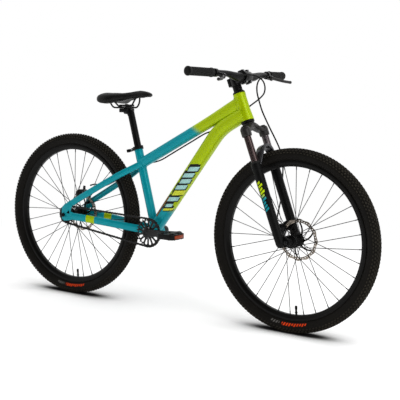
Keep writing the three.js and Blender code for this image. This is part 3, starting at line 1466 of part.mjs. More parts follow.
// Sliders: two legs, the arch that joins them over the tyre, and the dropouts
const archShares = [
  [-1, 0, 0, 0.8],
  [-0.82, 0.42, 0.55, 0.85],
  [-0.5, 0.86, 0.9, 0.95],
  [0, 1, 1, 1],
  [0.5, 0.86, 0.9, 0.95],
  [0.82, 0.42, 0.55, 0.85],
  [1, 0, 0, 0.8],
];
const calipers = {
  [FRONT]: { angle: 139 * RADIANS, side: frontRotorSide, tab: legSpacing / 2 - SLIDER_RADIUS_LOW / 1.4 },
  [REAR]: { angle: 93 * RADIANS, side: rearRotorSide, tab: dropoutInside },
};
function sliders() {
  const half = legSpacing / 2;
  const legs = [-1, 1].map((side) =>
    turnedUp(
      [
        [0, -SLIDER_RADIUS_LOW],
        [SLIDER_RADIUS_LOW * 0.7, -SLIDER_RADIUS_LOW],
        [SLIDER_RADIUS_LOW * 0.95, 0],
        [SLIDER_RADIUS_LOW, sliderBoreFloor],
        [(SLIDER_RADIUS_LOW + SLIDER_RADIUS_TOP) / 2, (sliderTop + sliderBoreFloor) / 2],
        [SLIDER_RADIUS_TOP, sliderTop - SEAL_HEIGHT * 3],
        [SLIDER_RADIUS_TOP, sliderTop],
        [SLIDER_RADIUS_TOP * 0.94, sliderTop],
        [SLIDER_RADIUS_TOP * 0.94, sliderTop + SEAL_HEIGHT],
        [0, sliderTop + SEAL_HEIGHT],
      ],
      12,
    ).translate(CROWN_OFFSET, side * half, 0),
  );
  const foot = sliderTop - SEAL_HEIGHT * 2;
  const archHeight = archTop - ARCH_THICKNESS / 2 - foot;
  const arch = lofted(
    archShares.map(([out, up, ahead, size]) => ({
      at: vec(CROWN_OFFSET + ARCH_FORWARD * ahead, half * out, foot + archHeight * up),
      width: ARCH_THICKNESS * size,
      height: ARCH_DEPTH * size,
    })),
    8,
    3,
    vec(1, 0, 0),
  );
  const dropouts = [-1, 1].map((side) => {
    const [near, far] = [FRONT_HUB_WIDTH / 2 + SEAM, FRONT_HUB_WIDTH / 2 + SEAM + FORK_DROPOUT_THICKNESS];
    const slot = AXLE_RADIUS + SEAM;
    const outline = [
      [CROWN_OFFSET - SLIDER_RADIUS_LOW * 0.6, -SLIDER_RADIUS_LOW * 0.9],
      [FORK_RAKE - slot * 1.7, -SLIDER_RADIUS_LOW],
      [FORK_RAKE - slot, -SLIDER_RADIUS_LOW],
      [FORK_RAKE - slot, slot * 0.45],
      [FORK_RAKE - slot * 0.45, slot],
      [FORK_RAKE + slot * 0.45, slot],
      [FORK_RAKE + slot, slot * 0.45],
      [FORK_RAKE + slot, -SLIDER_RADIUS_LOW],
      [FORK_RAKE + slot * 2.2, -SLIDER_RADIUS_LOW * 0.8],
      [FORK_RAKE + slot * 2.6, slot],
      [FORK_RAKE + slot * 1.4, slot * 3],
      [CROWN_OFFSET, SLIDER_RADIUS_LOW * 3],
    ];
    return plate(outline, side < 0 ? -far : near, side < 0 ? -near : far);
  });
  const tabAt = calipers[FRONT].tab;
  const tab = plate(
    [
      [CROWN_OFFSET, SLIDER_RADIUS_LOW * 3],
      [CROWN_OFFSET, SLIDER_RADIUS_LOW * 5.4],
      [CROWN_OFFSET - SLIDER_RADIUS_LOW * 1.6, SLIDER_RADIUS_LOW * 5.2],
      [CROWN_OFFSET - SLIDER_RADIUS_LOW * 2.1, SLIDER_RADIUS_LOW * 4.6],
      [CROWN_OFFSET - SLIDER_RADIUS_LOW * 1.3, SLIDER_RADIUS_LOW * 3.3],
    ],
    tabAt,
    tabAt + FORK_TAB_THICKNESS,
  );
  const bores = [-1, 1].map((side) =>
    turnedUp(solidProfile(STANCHION_RADIUS + SEAM, sliderBoreFloor, archTop + OVERRUN), 12).translate(
      CROWN_OFFSET,
      side * half,
      0,
    ),
  );
  const nutRoom = [-1, 1].map((side) => {
    const seat = FRONT_HUB_WIDTH / 2 + SEAM + FORK_DROPOUT_THICKNESS;
    const radius = AXLE_NUT_ACROSS / Math.sqrt(3) + SEAM * 3;
    return turned(solidProfile(radius, side * seat, side * legSpacing), 12).translate(FORK_RAKE, 0, 0);
  });
  return cut(fuse(...legs, arch, ...dropouts, tab), ...bores, ...nutRoom);
}

// Brake caliper, drawn about the wheel axle with the rotor edge under it
function caliperFrame({ angle }) {
  return (along, out) => {
    const radius = ROTOR_RADIUS + out;
    return [
      radius * Math.cos(angle) + along * Math.sin(angle),
      radius * Math.sin(angle) - along * Math.cos(angle),
    ];
  };
}

const caliperShares = [
  [-0.5, -0.3],
  [-0.3, -0.5],
  [0.3, -0.5],
  [0.5, -0.3],
  [0.52, 0.3],
  [0.3, 0.55],
  [-0.2, 0.62],
  [-0.5, 0.34],
];
function caliperBody(end) {
  const at = caliperFrame(end);
  const inner = end.side - CALIPER_INBOARD;
  const outer = end.tab - SEAM;
  const outline = caliperShares.map(([along, out]) => at(along * CALIPER_LENGTH, out * CALIPER_DEPTH));
  const slotHalf = CALIPER_SLOT / 2;
  const body = plate(outline, inner, outer);
  const slot = plate(
    circle(ROTOR_RADIUS + 2 * ROTOR_WAVE, 40),
    end.side - slotHalf,
    end.side + slotHalf,
  );
  return cut(body, slot);
}

function caliperArm(end) {
  const at = caliperFrame(end);
  const inner = end.tab + SEAM;
  const [x, z] = at(-CALIPER_LENGTH * 0.12, 0);
  const hub = circle(CALIPER_PIVOT_RADIUS, 12, x, z);
  const outline = [
    at(-CALIPER_LENGTH * 0.24, -CALIPER_PIVOT_RADIUS * 0.4),
    at(0, -CALIPER_PIVOT_RADIUS * 0.4),
    at(CALIPER_PIVOT_RADIUS * 0.2, CALIPER_ARM_LENGTH),
    at(-CALIPER_PIVOT_RADIUS, CALIPER_ARM_LENGTH * 1.05),
  ];
  return fuse(
    plate(hub, inner, inner + CALIPER_ARM_THICKNESS),
    plate(outline, inner, inner + CALIPER_ARM_THICKNESS),
  );
}

// Seat collar and its lever
const collarFoot = SEAT_TUBE_LENGTH - COLLAR_HEIGHT;
const collarRadius = SEAT_TUBE_RADIUS + SEAM + COLLAR_WALL;
const collarPivot = vec(-collarRadius - COLLAR_WALL * 1.6, COLLAR_LEVER_SIDE, collarFoot + COLLAR_HEIGHT / 2);
function seatCollar() {
  const ring = turnedUp(
    sleeveProfile(SEAT_TUBE_RADIUS + SEAM, collarRadius, collarFoot, SEAT_TUBE_LENGTH),
    20,
    true,
  );
  const ear = (from, to) =>
    plate(
      [
        [-collarRadius - COLLAR_WALL * 3, collarFoot + COLLAR_HEIGHT * 0.1],
        [-collarRadius + COLLAR_WALL / 2, collarFoot + COLLAR_HEIGHT * 0.1],
        [-collarRadius + COLLAR_WALL / 2, SEAT_TUBE_LENGTH - COLLAR_HEIGHT * 0.1],
        [-collarRadius - COLLAR_WALL * 3, SEAT_TUBE_LENGTH - COLLAR_HEIGHT * 0.1],
      ],
      from,
      to,
    );
  const pull = rod(
    vec(collarPivot.x, -COLLAR_WALL * 3.2, collarPivot.z),
    vec(collarPivot.x, collarPivot.y - COLLAR_WALL * 1.6 - SEAM, collarPivot.z),
    COLLAR_WALL,
  );
  return fuse(ring, ear(COLLAR_WALL / 4, COLLAR_WALL * 2), ear(-COLLAR_WALL * 2, -COLLAR_WALL / 4), pull);
}

function collarLever() {
  const half = COLLAR_HEIGHT * 0.36;
  const barrel = rod(
    vec(collarPivot.x, collarPivot.y, collarPivot.z - half),
    vec(collarPivot.x, collarPivot.y, collarPivot.z + half),
    COLLAR_WALL * 1.6,
  );
  const handle = lofted(
    [
      [0, 0, 1],
      [0.4, 0.1, 0.9],
      [0.8, 0.34, 1.1],
      [1, 0.52, 0.9],
    ].map(([back, inward, size]) => ({
      at: vec(
        collarPivot.x - COLLAR_LEVER_LENGTH * back,
        collarPivot.y - COLLAR_LEVER_LENGTH * inward,
        collarPivot.z,
      ),
      width: COLLAR_WALL * 1.8 * size,
      height: 2 * half * size,
    })),
    8,
    3,
  );
  return fuse(barrel, handle);
}

// Seatpost, rail clamp, rails and saddle
function clampBlock(from, to, halfWidth, lengthShare = 1) {
  const half = (CLAMP_LENGTH / 2) * lengthShare;
  return plate(
    [
      [-half, from],
      [half, from],
      [half, to],
      [-half, to],
    ],
    -halfWidth,
    halfWidth,
  );
}

function seatpost() {
  const seat = vec(0, 0, -RAIL_RADIUS - CLAMP_PLATE).applyMatrix4(saddlePlace.matrixWorld);
  const local = seat.applyMatrix4(seatAxis.matrixWorld.clone().invert());
  const postTop = local.z - POST_NECK;
  const tube = turnedUp(solidProfile(POST_RADIUS, postTop - POST_LENGTH, postTop), 18);
  const neck = lofted(
    [
      [vec(0, 0, postTop - POST_RADIUS * 0.9), 1.9],
      [vec(local.x * 0.5, 0, (postTop + local.z) / 2), 2.2],
      [vec(local.x, 0, local.z), 2.4],
    ].map(([at, wide]) => ({ at, width: POST_RADIUS * wide, height: POST_RADIUS * 1.9 })),
    10,
    3,
    vec(1, 0, 0),
  );
  const cradle = carried(
    clampBlock(-RAIL_RADIUS - CLAMP_PLATE * 1.8, -RAIL_RADIUS - SEAM, CLAMP_WIDTH / 2),
    saddlePlace,
    seatAxis,
  );
  const above = carried(
    clampBlock(-RAIL_RADIUS - SEAM, RAIL_RADIUS + 4 * CLAMP_PLATE, CLAMP_WIDTH, 3),
    saddlePlace,
    seatAxis,
  );
  return cut(fuse(tube, neck, cradle), above);
}

function saddleClamp() {
  const cap = clampBlock(RAIL_RADIUS + SEAM, RAIL_RADIUS + SEAM + CLAMP_PLATE, CLAMP_WIDTH / 2);
  const boltRadius = RAIL_RADIUS * 2;
  const bolt = rod(
    vec(0, 0, -RAIL_RADIUS),
    vec(0, 0, RAIL_RADIUS + CLAMP_PLATE * 1.8),
    boltRadius,
    boltRadius,
    12,
  );
  return fuse(cap, bolt);
}

// Rail places along the saddle and up from the clamp, for one side
const railShares = [
  [-0.285, 0.5, 0.68],
  [-0.25, 0.3, 0.84],
  [-0.2, 0.05, 0.96],
  [-0.15, 0, 1],
  [-0.09, 0, 1],
  [0.09, 0, 1],
  [0.13, 0.02, 1],
  [0.17, 0.25, 0.96],
  [0.2, 0.6, 0.8],
  [0.22, 0.88, 0.4],
];
function saddleRails() {
  const side = (sign) =>
    railShares.map(([along, up, out]) =>
      vec(SADDLE_LENGTH * along, (sign * out * RAIL_SPACING) / 2, SADDLE_CROWN * up * 0.85),
    );
  const path = [...side(-1), ...side(1).reverse()];
  return cord(path, RAIL_RADIUS, 34, 5);
}

// Saddle sections: place along, half width, crown, and how low the side reaches
const saddleShares = [
  [0, 0.2, 0.76, 0.62],
  [0.03, 0.55, 0.9, 0.5],
  [0.12, 0.88, 1, 0.34],
  [0.24, 1, 1.01, 0.24],
  [0.36, 0.96, 0.98, 0.26],
  [0.48, 0.68, 0.97, 0.44],
  [0.6, 0.44, 1.02, 0.6],
  [0.74, 0.33, 1.12, 0.7],
  [0.88, 0.28, 1.2, 0.76],
  [0.96, 0.22, 1.14, 0.82],
  [1, 0.1, 0.98, 0.86],
];
function saddle() {
  const tail = (SADDLE_NOSE_SHARE - 1) * SADDLE_LENGTH;
  const rings = saddleShares.map(([along, out, top, low]) => {
    const x = tail + SADDLE_LENGTH * along;
    const width = (out * SADDLE_WIDTH) / 2;
    const high = top * SADDLE_CROWN;
    const skirt = low * SADDLE_CROWN;
    const base = skirt + (high - skirt) * 0.35;
    const round = [
      [0, base],
      [0.55, base],
      [0.86, skirt],
      [1, skirt + (high - skirt) * 0.3],
      [0.95, skirt + (high - skirt) * 0.66],
      [0.7, skirt + (high - skirt) * 0.9],
      [0.35, high],
    ];
    const right = round.map(([share, z]) => vec(x, -share * width, z));
    const left = round.slice(1).map(([share, z]) => vec(x, share * width, z));
    return [...right, ...left.reverse()];
  });
  return loft(rings);
}

// Brake cables. Points near a lever are [forward, out, up] from the end of its barrel, where out is
// a share of the barrel's own place along the bar.
const fromLever = (side) => {
  const end = leverPoint(side, leverHoseSide - CABLE_GAP, LEVER_BARREL_REACH);
  end.applyMatrix4(barPlace.matrixWorld);
  return ([forward, out, up]) => vec(end.x + forward * ROUTE_UNIT, end.y * out, end.z + up * ROUTE_UNIT);
};
// Points of the steering assembly are [forward, left, up, follow] from the foot of its axis: follow
// is the share that a point keeps to the head tube, and the rest it keeps to the left leg.
const steered = ([forward, left, up, follow]) =>
  vec(forward, left, up)
    .multiplyScalar(ROUTE_UNIT)
    .add(vec(0, ((1 - follow) * legSpacing) / 2, follow * HEAD_TUBE_BASE))
    .applyMatrix4(steering.matrixWorld);
// Points beside a tube are [share of its length, left, up from its line].
const beside = (from, to) => {
  const line = to.clone().sub(from);
  const above = vec(-line.z, 0, line.x).normalize();
  return ([share, left, up]) =>
    from.clone().lerp(to, share).addScaledVector(above, up * ROUTE_UNIT).add(vec(0, left * ROUTE_UNIT, 0));
};
const besideTopTube = beside(topTubeFoot, topTubeHead);
// Share of the top tube at which the line of the down tube lies a given distance under its own
const gapAt = (share) => {
  const along = topTubeHead.clone().sub(topTubeFoot).normalize();
  const above = vec(-along.z, 0, along.x);
  const here = topTubeFoot.clone().lerp(topTubeHead, share).sub(downTubeFoot);
  const rise = downTubeBend.clone().sub(downTubeFoot).normalize();
  return here.dot(above) - (rise.dot(above) * here.dot(along)) / rise.dot(along);
};
const shareAtGap = (gap) => 1 - ((gap - gapAt(1)) / (gapAt(0) - gapAt(1)));
const fromRearAxle = ([forward, left, up]) =>
  vec(forward, left, up).multiplyScalar(ROUTE_UNIT).add(rearAxlePlace);

const frontLeverShares = [
  [0, 1, 0],
  [0, 0.96, 0],
  [0.024, 0.8443, -0.021],
  [0.079, 0.6596, -0.056],
  [0.159, 0.4617, -0.146],
  [0.209, 0.3298, -0.336],
];
const frontForkShares = [
  [0.5244, 0.42, 0.9458, 1],
  [0.5129, 0.4, 0.6265, 1],
  [0.5082, 0.4, 0.218, 1],
  [0.601, 0.44, -0.5867, 1],
  [0.6664, 0.215, 1.1037, 0.5],
  [0.4977, 0.3125, 1.8259, 0.25],
  [0.1702, 0.25, 2.3494, 0],
  [-0.1196, 0.19, 1.6501, 0],
  [-0.3403, 0.05, 1.1807, 0],
  [-0.4599, -0.03, 0.8796, 0],
];
const loopLeverShares = [
  [0, 1, 0],
  [0, 0.96, 0],
  [0.029, 0.8443, -0.016],
  [0.109, 0.6266, -0.006],
  [0.229, 0.3958, 0.034],
  [0.329, 0.1319, 0.044],
];
const loopHeadShares = [
  [0.8807, 0.15, 1.4485, 1],
  [0.9427, 0.34, 1.2827, 1],
  [0.9113, 0.44, 1.0471, 1],
  [0.726, 0.54, 0.8311, 1],
  [0.4169, 0.56, 0.7089, 1],
  [0.186, 0.46, 0.6195, 1],
  [0.0127, 0.334, 0.539, 1],
];
const rearHeadShares = [
  [-0.0016, 0.33, 0.533, 1],
  [-0.097, 0.332, 0.501, 1],
];
const rearCrookShares = [
  [0.0642, 0.34, -0.2896],
  [0.2751, 0.34, -0.3356],
  [0.4371, 0.335, -0.3597],
  [0.5674, 0.3, -0.3646],
  [0.6733, 0.18, -0.3182],
  [0.7963, 0.1, -0.2746],
];
const rearTopTubeShares = [
  [0.5032, 0.08, -0.2763],
  [0.3441, 0.08, -0.2763],
  [0.2281, 0.12, -0.2694],
  [0.1571, 0.22, -0.238],
  [0.0906, 0.3, -0.1629],
];
const rearStayShares = [
  [1.0307, 0.38, 0.0121],
  [0.9238, 0.5, 0.143],
  [0.7884, 0.58, 0.195],
  [0.6621, 0.68, 0.2047],
  [0.3493, 0.76, 0.2462],
];
const rearAxleShares = [
  [0.85, 0.78, 1.19],
  [0.47, 0.78, 1.25],
  [0.17, 0.8, 1.17],
];
const frontCablePath = [...frontLeverShares.map(fromLever(1)), ...frontForkShares.map(steered)];
const rearLoopPath = [...loopLeverShares.map(fromLever(-1)), ...loopHeadShares.map(steered)];
const rearCablePath = [
  ...rearHeadShares.map(steered),
  ...rearCrookShares.map(([gap, left, up]) => besideTopTube([shareAtGap(gap * ROUTE_UNIT), left, up])),
  ...rearTopTubeShares.map(besideTopTube),
  ...rearStayShares.map(beside(seatstayFoot, seatstayHead)),
  ...rearAxleShares.map(fromRearAxle),
];
const routed = (path, steps) => cord(path, CABLE_RADIUS, steps, 5);

// Assembly of the frame
piece(bicycle, "head_tube", "lime", headTube());
piece(bicycle, "top_tube", "teal", topTube());
piece(bicycle, "down_tube", "lime", downTube());
piece(bicycle, "seat_tube", "teal", seatTube());
piece(bicycle, "bottom_bracket_shell", "teal", bracketShell());
for (const [name, side] of [
  ["right", -1],
  ["left", 1],
]) {
  piece(bicycle, name + "_chainstay", "teal", chainstay(side));
  piece(bicycle, name + "_seatstay", "teal", seatstay(side));
}
piece(steering, "upper_headset_cup", "black", headsetCup(headTubeTop, true));
piece(steering, "lower_headset_cup", "black", headsetCup(HEAD_TUBE_BASE - CUP_HEIGHT, false));
piece(seatAxis, "seat_collar", "black", seatCollar());
piece(seatAxis, "seat_collar_lever", "black", collarLever());
piece(rearAxle, "rear_brake_caliper", "black", caliperBody(calipers[REAR]));
piece(rearAxle, "rear_caliper_arm", "steel", caliperArm(calipers[REAR]));
piece(bicycle, "rear_brake_cable", "black", routed(rearCablePath, 50));
piece(bicycle, "rear_brake_loop", "black", routed(rearLoopPath, 30));
piece(cranks, "chain", "black", chain());
piece(rearAxle, "rear_axle", "black", axleWithNuts(dropoutInside + DROPOUT_THICKNESS + SEAM));
piece(cranks, "bottom_bracket", "black", bracketCups());

// Rear wheel
piece(rearAxle, "rear_tyre", "rubber", tyre());
piece(rearAxle, "rear_rim", "black", rim());
piece(
  rearAxle,
  "rear_hub",
  "black",
  hubWithSpokes(REAR_HUB_WIDTH, rearRotorSide, CHAIN_LINE + 2 * SPROCKET_THICKNESS),
);
piece(rearAxle, "rear_rotor", "steel", rotor(rearRotorSide));
piece(rearAxle, "freewheel", "black", freewheel());

// Cranks and pedals
piece(cranks, "chainring", "black", chainring());
piece(
  cranks,
  "crank_spindle",
  "steel",
  turned(solidProfile(SPINDLE_RADIUS, -SPINDLE_REACH, SPINDLE_REACH), 12),
);
for (const [name, side] of [
  ["right", -1],
  ["left", 1],
]) {
  piece(cranks, name + "_crank", "black", crank(side));
  piece(cranks, name + "_pedal_axle", "steel", pedalAxle(side));
  piece(cranks, name + "_pedal", "black", pedal(side));
}

// Fork, stem, handlebar and levers
piece(steering, "fork_crown", "graphite", crown());
piece(steering, "fork_sliders", "black", sliders());
const [stemBody, facePlate] = stemParts();
piece(steering, "stem", "black", stemBody);
piece(steering, "stem_faceplate", "black", facePlate);
piece(
  steering,
  "headset_spacer",
  "black",
  turnedUp(
    sleeveProfile(
      STEERER_RADIUS + SEAM,
      STEERER_RADIUS + SPACER_WALL,
      stemFoot - SPACER_HEIGHT + SEAM,
      stemFoot - SEAM,
    ),
    16,
    true,
  ),
);
piece(
  steering,
  "top_cap",
  "black",
  turnedUp(solidProfile(STEM_CLAMP_RADIUS - SEAM, stemTop + SEAM, stemTop + TOP_CAP_HEIGHT), 16),
);
piece(barPlace, "handlebar", "black", handlebar());
for (const [name, side] of [
  ["right", -1],
  ["left", 1],
]) {
  piece(steering, name + "_stanchion", "graphite", stanchion(side));
  piece(barPlace, name + "_grip", "rubber", grip(side));
  piece(barPlace, name + "_lever_bracket", "black", leverBracket(side));
  piece(barPlace, name + "_brake_lever", "graphite", leverBlade(side));
}
piece(bicycle, "front_brake_cable", "black", routed(frontCablePath, 44));
const forkDropoutOutside = FRONT_HUB_WIDTH / 2 + SEAM + FORK_DROPOUT_THICKNESS;
piece(frontAxle, "front_axle", "black", axleWithNuts(forkDropoutOutside + SEAM));

// Front wheel and its brake
piece(frontAxle, "front_tyre", "rubber", tyre());
piece(frontAxle, "front_rim", "black", rim());
piece(
  frontAxle,
  "front_hub",
  "black",
  hubWithSpokes(FRONT_HUB_WIDTH, frontRotorSide, FLANGE_SPACING / 2 + HUB_FLANGE_THICKNESS),
);
piece(frontAxle, "front_rotor", "steel", rotor(frontRotorSide));
const tiltedAxle = group(steering, vec(FORK_RAKE, 0, 0), 0);
piece(tiltedAxle, "front_brake_caliper", "black", caliperBody(calipers[FRONT]));
piece(tiltedAxle, "front_caliper_arm", "steel", caliperArm(calipers[FRONT]));

// Seat
piece(seatAxis, "seatpost", "black", seatpost());
piece(saddlePlace, "saddle_clamp", "black", saddleClamp());
piece(saddlePlace, "saddle_rails", "black", saddleRails());
piece(saddlePlace, "saddle", "rubber", saddle());

export default bicycle;
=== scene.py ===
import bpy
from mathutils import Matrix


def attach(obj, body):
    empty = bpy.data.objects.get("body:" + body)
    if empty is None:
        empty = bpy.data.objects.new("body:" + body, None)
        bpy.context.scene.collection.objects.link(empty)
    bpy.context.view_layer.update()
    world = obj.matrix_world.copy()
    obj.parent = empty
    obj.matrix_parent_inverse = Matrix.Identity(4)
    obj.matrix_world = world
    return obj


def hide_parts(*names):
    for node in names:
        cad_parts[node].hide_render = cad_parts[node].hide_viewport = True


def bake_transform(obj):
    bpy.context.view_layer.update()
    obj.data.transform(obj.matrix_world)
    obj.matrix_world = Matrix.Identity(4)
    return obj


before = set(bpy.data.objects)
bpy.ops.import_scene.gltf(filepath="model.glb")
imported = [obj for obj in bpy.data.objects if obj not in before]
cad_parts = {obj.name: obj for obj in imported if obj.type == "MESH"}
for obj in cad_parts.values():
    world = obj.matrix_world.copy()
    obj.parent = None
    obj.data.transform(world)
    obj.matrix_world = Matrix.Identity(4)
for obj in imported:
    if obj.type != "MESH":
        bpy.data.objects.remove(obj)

# Looks of a dirt jump bicycle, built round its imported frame.
# Sizes are millimetres until a mesh is made; in the paints MM turns them into metres.
import math

import bmesh
import bpy
from mathutils import Matrix, Vector

MM = 0.001
TAU = 2 * math.pi
SIDES = (("right", -1), ("left", 1))
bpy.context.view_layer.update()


# -------------------- places

def at(x, y=0.0, z=0.0):
    return Matrix.Translation((x, y, z))


def tilt(degrees, axis="Y"):
    return Matrix.Rotation(math.radians(degrees), 4, axis)


AXLE_X, AXLE_Z = 537, 345
BRACKET_X, BRACKET_Z = -100, 312
HEAD_LOW, HEAD_HIGH = 486, 595  # ends of the head tube along the steering axis
LEG_X, LEG_Y = 17, 65  # fork legs from the steering axis
FRONT, REAR = at(AXLE_X, 0, AXLE_Z), at(-AXLE_X, 0, AXLE_Z)
BRACKET = at(BRACKET_X, 0, BRACKET_Z)
STEERING = at(501.817, 0, 330.642) @ tilt(-22.2)
SEAT_AXIS = BRACKET @ tilt(-16.5)
FORK_AXLE = STEERING @ at(38)
SADDLE = at(-264, 0, 810) @ tilt(-2)
BAR = at(300.70, 0, 945.21)


# -------------------- shapes: lists of points and faces

def moved(shape, matrix):
    return [matrix @ Vector(p) for p in shape[0]], shape[1]


def joined(*shapes):
    points, faces = [], []
    for more, corners in shapes:
        start = len(points)
        points += more
        faces += [tuple(start + i for i in face) for face in corners]
    return points, faces


def polar(radius, angle, x=0.0, z=0.0):
    return x + radius * math.cos(angle), z + radius * math.sin(angle)


def circle(radius, count=24, x=0.0, z=0.0):
    return [polar(radius, TAU * i / count, x, z) for i in range(count)]


def softened(line, radius, closed=False, steps=3):
    """A profile with its corners rounded."""
    out = []
    count = len(line)
    for i, here in enumerate(line):
        here = Vector(here)
        if not closed and i in (0, count - 1):
            out.append(here)
            continue
        before, after = Vector(line[i - 1]), Vector(line[(i + 1) % count])
        reach = min(radius, (before - here).length * 0.45, (after - here).length * 0.45)
        if reach < 1e-4:
            out.append(here)
            continue
        a = here + (before - here).normalized() * reach
        b = here + (after - here).normalized() * reach
        for k in range(steps + 1):
            t = k / steps
            out.append(a * (1 - t) ** 2 + here * 2 * t * (1 - t) + b * t * t)
    return out


def turned(profile, count, closed=False, upright=False):
    """A body turned about Y, or about Z when upright; the profile is (radius, side)."""
    points, faces = [], []
    n = len(profile)
    for k in range(count):
        c, s = math.cos(TAU * k / count), math.sin(TAU * k / count)
        for radius, side in profile:
            points.append(Vector((radius * c, radius * s, side) if upright
                                 else (radius * c, side, radius * s)))
    for k in range(count):
        here, there = k * n, ((k + 1) % count) * n
        for i in range(n if closed else n - 1):
            j = (i + 1) % n
            faces.append((here + i, here + j, there + j, there + i))
    return points, faces


def lathe(line, edge, count, closed=False, upright=False, steps=3):
    """A body turned from a profile whose corners are rounded first."""
    return turned(softened(line, edge, closed, steps), count, closed, upright)


def rod(radius, start, end, edge, count, upright=False):
    edge = min(edge, radius * 0.5, abs(end - start) * 0.4)
    return lathe([(0, start), (radius, start), (radius, end), (0, end)], edge, count,
                 upright=upright)


def sleeve(bore, radius, start, end, edge, count, upright=False):
    edge = min(edge, (radius - bore) * 0.4)
    return lathe([(bore, start), (radius, start), (radius, end), (bore, end)], edge, count, True,
                 upright)


def skin(rings):
    """A skin over rings of equal point count, closed at both ends."""
    count = len(rings[0])
    points = [Vector(p) for ring in rings for p in ring]
    faces = []
    for r in range(len(rings) - 1):
        for i in range(count):
            j = (i + 1) % count
            faces.append((r * count + i, r * count + j, (r + 1) * count + j, (r + 1) * count + i))
    faces.append(tuple(reversed(range(count))))
    faces.append(tuple(range(len(points) - count, len(points))))
    return points, faces


def section(centre, across, up, half_width, half_height, count, square):
    """A ring that is round at square = 2 and nearer to a box the higher square is."""
    ring = []
    for i in range(count):
        c, s = polar(1, TAU * (i + 0.5) / count)
        x = math.copysign(abs(c) ** (2 / square), c) * half_width
        z = math.copysign(abs(s) ** (2 / square), s) * half_height
        ring.append(centre + across * x + up * z)
    return ring


def lofted(stations, count=28, square=2.0, upward=(0, 0, 1)):
    """A tube over stations of (place, width, height); upward stays up as nearly as it can."""
    rings = []
    for i, (place, width, height) in enumerate(stations):
        before, after = stations[max(i - 1, 0)][0], stations[min(i + 1, len(stations) - 1)][0]
        along = (Vector(after) - Vector(before)).normalized()
        across = along.cross(Vector(upward)).normalized()
        rings.append(section(Vector(place), across, across.cross(along), width / 2, height / 2,
                             count, square))
    return skin(rings)


def smoothed(values, steps):
    """Stations filled in between by a spline, so that a form has no kinks."""
    rows = [[*place, *rest] for place, *rest in values]
    out = []
    for i in range(len(rows) - 1):
        before, after = rows[max(i - 1, 0)], rows[min(i + 2, len(rows) - 1)]
        for k in range(steps):
            t = k / steps
            out.append([0.5 * (2 * b + (c - a) * t + (2 * a - 5 * b + 4 * c - d) * t * t
                               + (3 * b - a - 3 * c + d) * t ** 3)
                        for a, b, c, d in zip(before, rows[i], rows[i + 1], after)])
    out.append(rows[-1])
    return [(Vector(row[:3]), *row[3:]) for row in out]


def spline(points, step=4.0):
    """The cord's own line: a centripetal spline through its route points."""
    p = [Vector(q) for q in points]
    p = [p[0] * 2 - p[1], *p, p[-1] * 2 - p[-2]]
    out = []
    for i in range(1, len(p) - 2):
        knots = [0.0]
        for k in range(3):
            knots.append(knots[-1] + max((p[i + k] - p[i + k - 1]).length ** 0.5, 1e-6))
        steps = max(2, int((p[i + 1] - p[i]).length / step))
        for k in range(steps):
            t = knots[1] + (knots[2] - knots[1]) * k / steps
            row = p[i - 1:i + 3]
            for level in (1, 2, 3):
                row = [(row[j] * (knots[j + level] - t) + row[j + 1] * (t - knots[j]))
                       / (knots[j + level] - knots[j]) for j in range(len(row) - 1)]
            out.append(row[0])
    out.append(p[-2])
    return out


def tube(path, radius, count):
    """A closed round tube along a path; radius is one number or one for each point."""
    path = [Vector(p) for p in path]
    radii = radius if isinstance(radius, list) else [radius] * len(path)
    up = (path[1] - path[0]).normalized().orthogonal().normalized()
    rings = []
    for i, here in enumerate(path):
        ahead = (path[min(i + 1, len(path) - 1)] - path[max(i - 1, 0)]).normalized()
        up = (up - ahead * up.dot(ahead)).normalized()
        side = ahead.cross(up)
        rings.append([
            here + (up * math.cos(TAU * k / count) + side * math.sin(TAU * k / count)) * radii[i]
            for k in range(count)])
    return skin(rings)


def bar_between(start, end, radius, count=20, edge=0.5):
    """A round bar with softened ends between two points."""
    start, end = Vector(start), Vector(end)
    turn = (end - start).to_track_quat("Z", "Y").to_matrix().to_4x4()
    return moved(rod(radius, 0, (end - start).length, edge, count, upright=True),
                 Matrix.Translation(start) @ turn)


def evaluated(item):
    return bpy.data.meshes.new_from_object(
        item.evaluated_get(bpy.context.evaluated_depsgraph_get()))


def plate(outline, near, far, holes=(), edge=0.5):
    """An outline in X and Z with a thickness along Y, with holes and softened edges."""
    curve = bpy.data.curves.new("outline", "CURVE")
    curve.dimensions = "2D"
    curve.fill_mode = "BOTH"
    half = abs(far - near) / 2
    edge = min(edge, half * 0.45)
    curve.extrude = half - edge
    curve.bevel_depth = edge
    curve.bevel_resolution = 1
    curve.offset = -edge
    for line in (outline, *holes):
        path = curve.splines.new("POLY")
        path.points.add(len(line) - 1)
        for point, (x, z) in zip(path.points, line):
            point.co = (x, z, 0, 1)
        path.use_cyclic_u = True
    holder = bpy.data.objects.new("outline", curve)
    bpy.context.scene.collection.objects.link(holder)
    made = evaluated(holder)
    bpy.data.objects.remove(holder)
    bpy.data.curves.remove(curve)
    middle = (near + far) / 2
    points = [Vector((v.co.x, middle - v.co.z, v.co.y)) for v in made.vertices]
    faces = [tuple(p.vertices) for p in made.polygons]
    bpy.data.meshes.remove(made)
    return points, faces


def soft_plate(outline, radius, near, far, holes=(), edge=0.5):
    return plate(softened(outline, radius, closed=True), near, far, holes, edge)


def brick(low, high, edge):
    """A block with softened edges."""
    (a, b, c), (d, e, f) = low, high
    return soft_plate([(a, c), (d, c), (d, f), (a, f)], edge, b, e, edge=edge)


# -------------------- colours and finishes

def colour(code):
    """An sRGB hex colour as linear values."""
    parts = [int(code[i:i + 2], 16) / 255 for i in (1, 3, 5)]
    return [p / 12.92 if p <= 0.04045 else ((p + 0.055) / 1.055) ** 2.4 for p in parts] + [1.0]


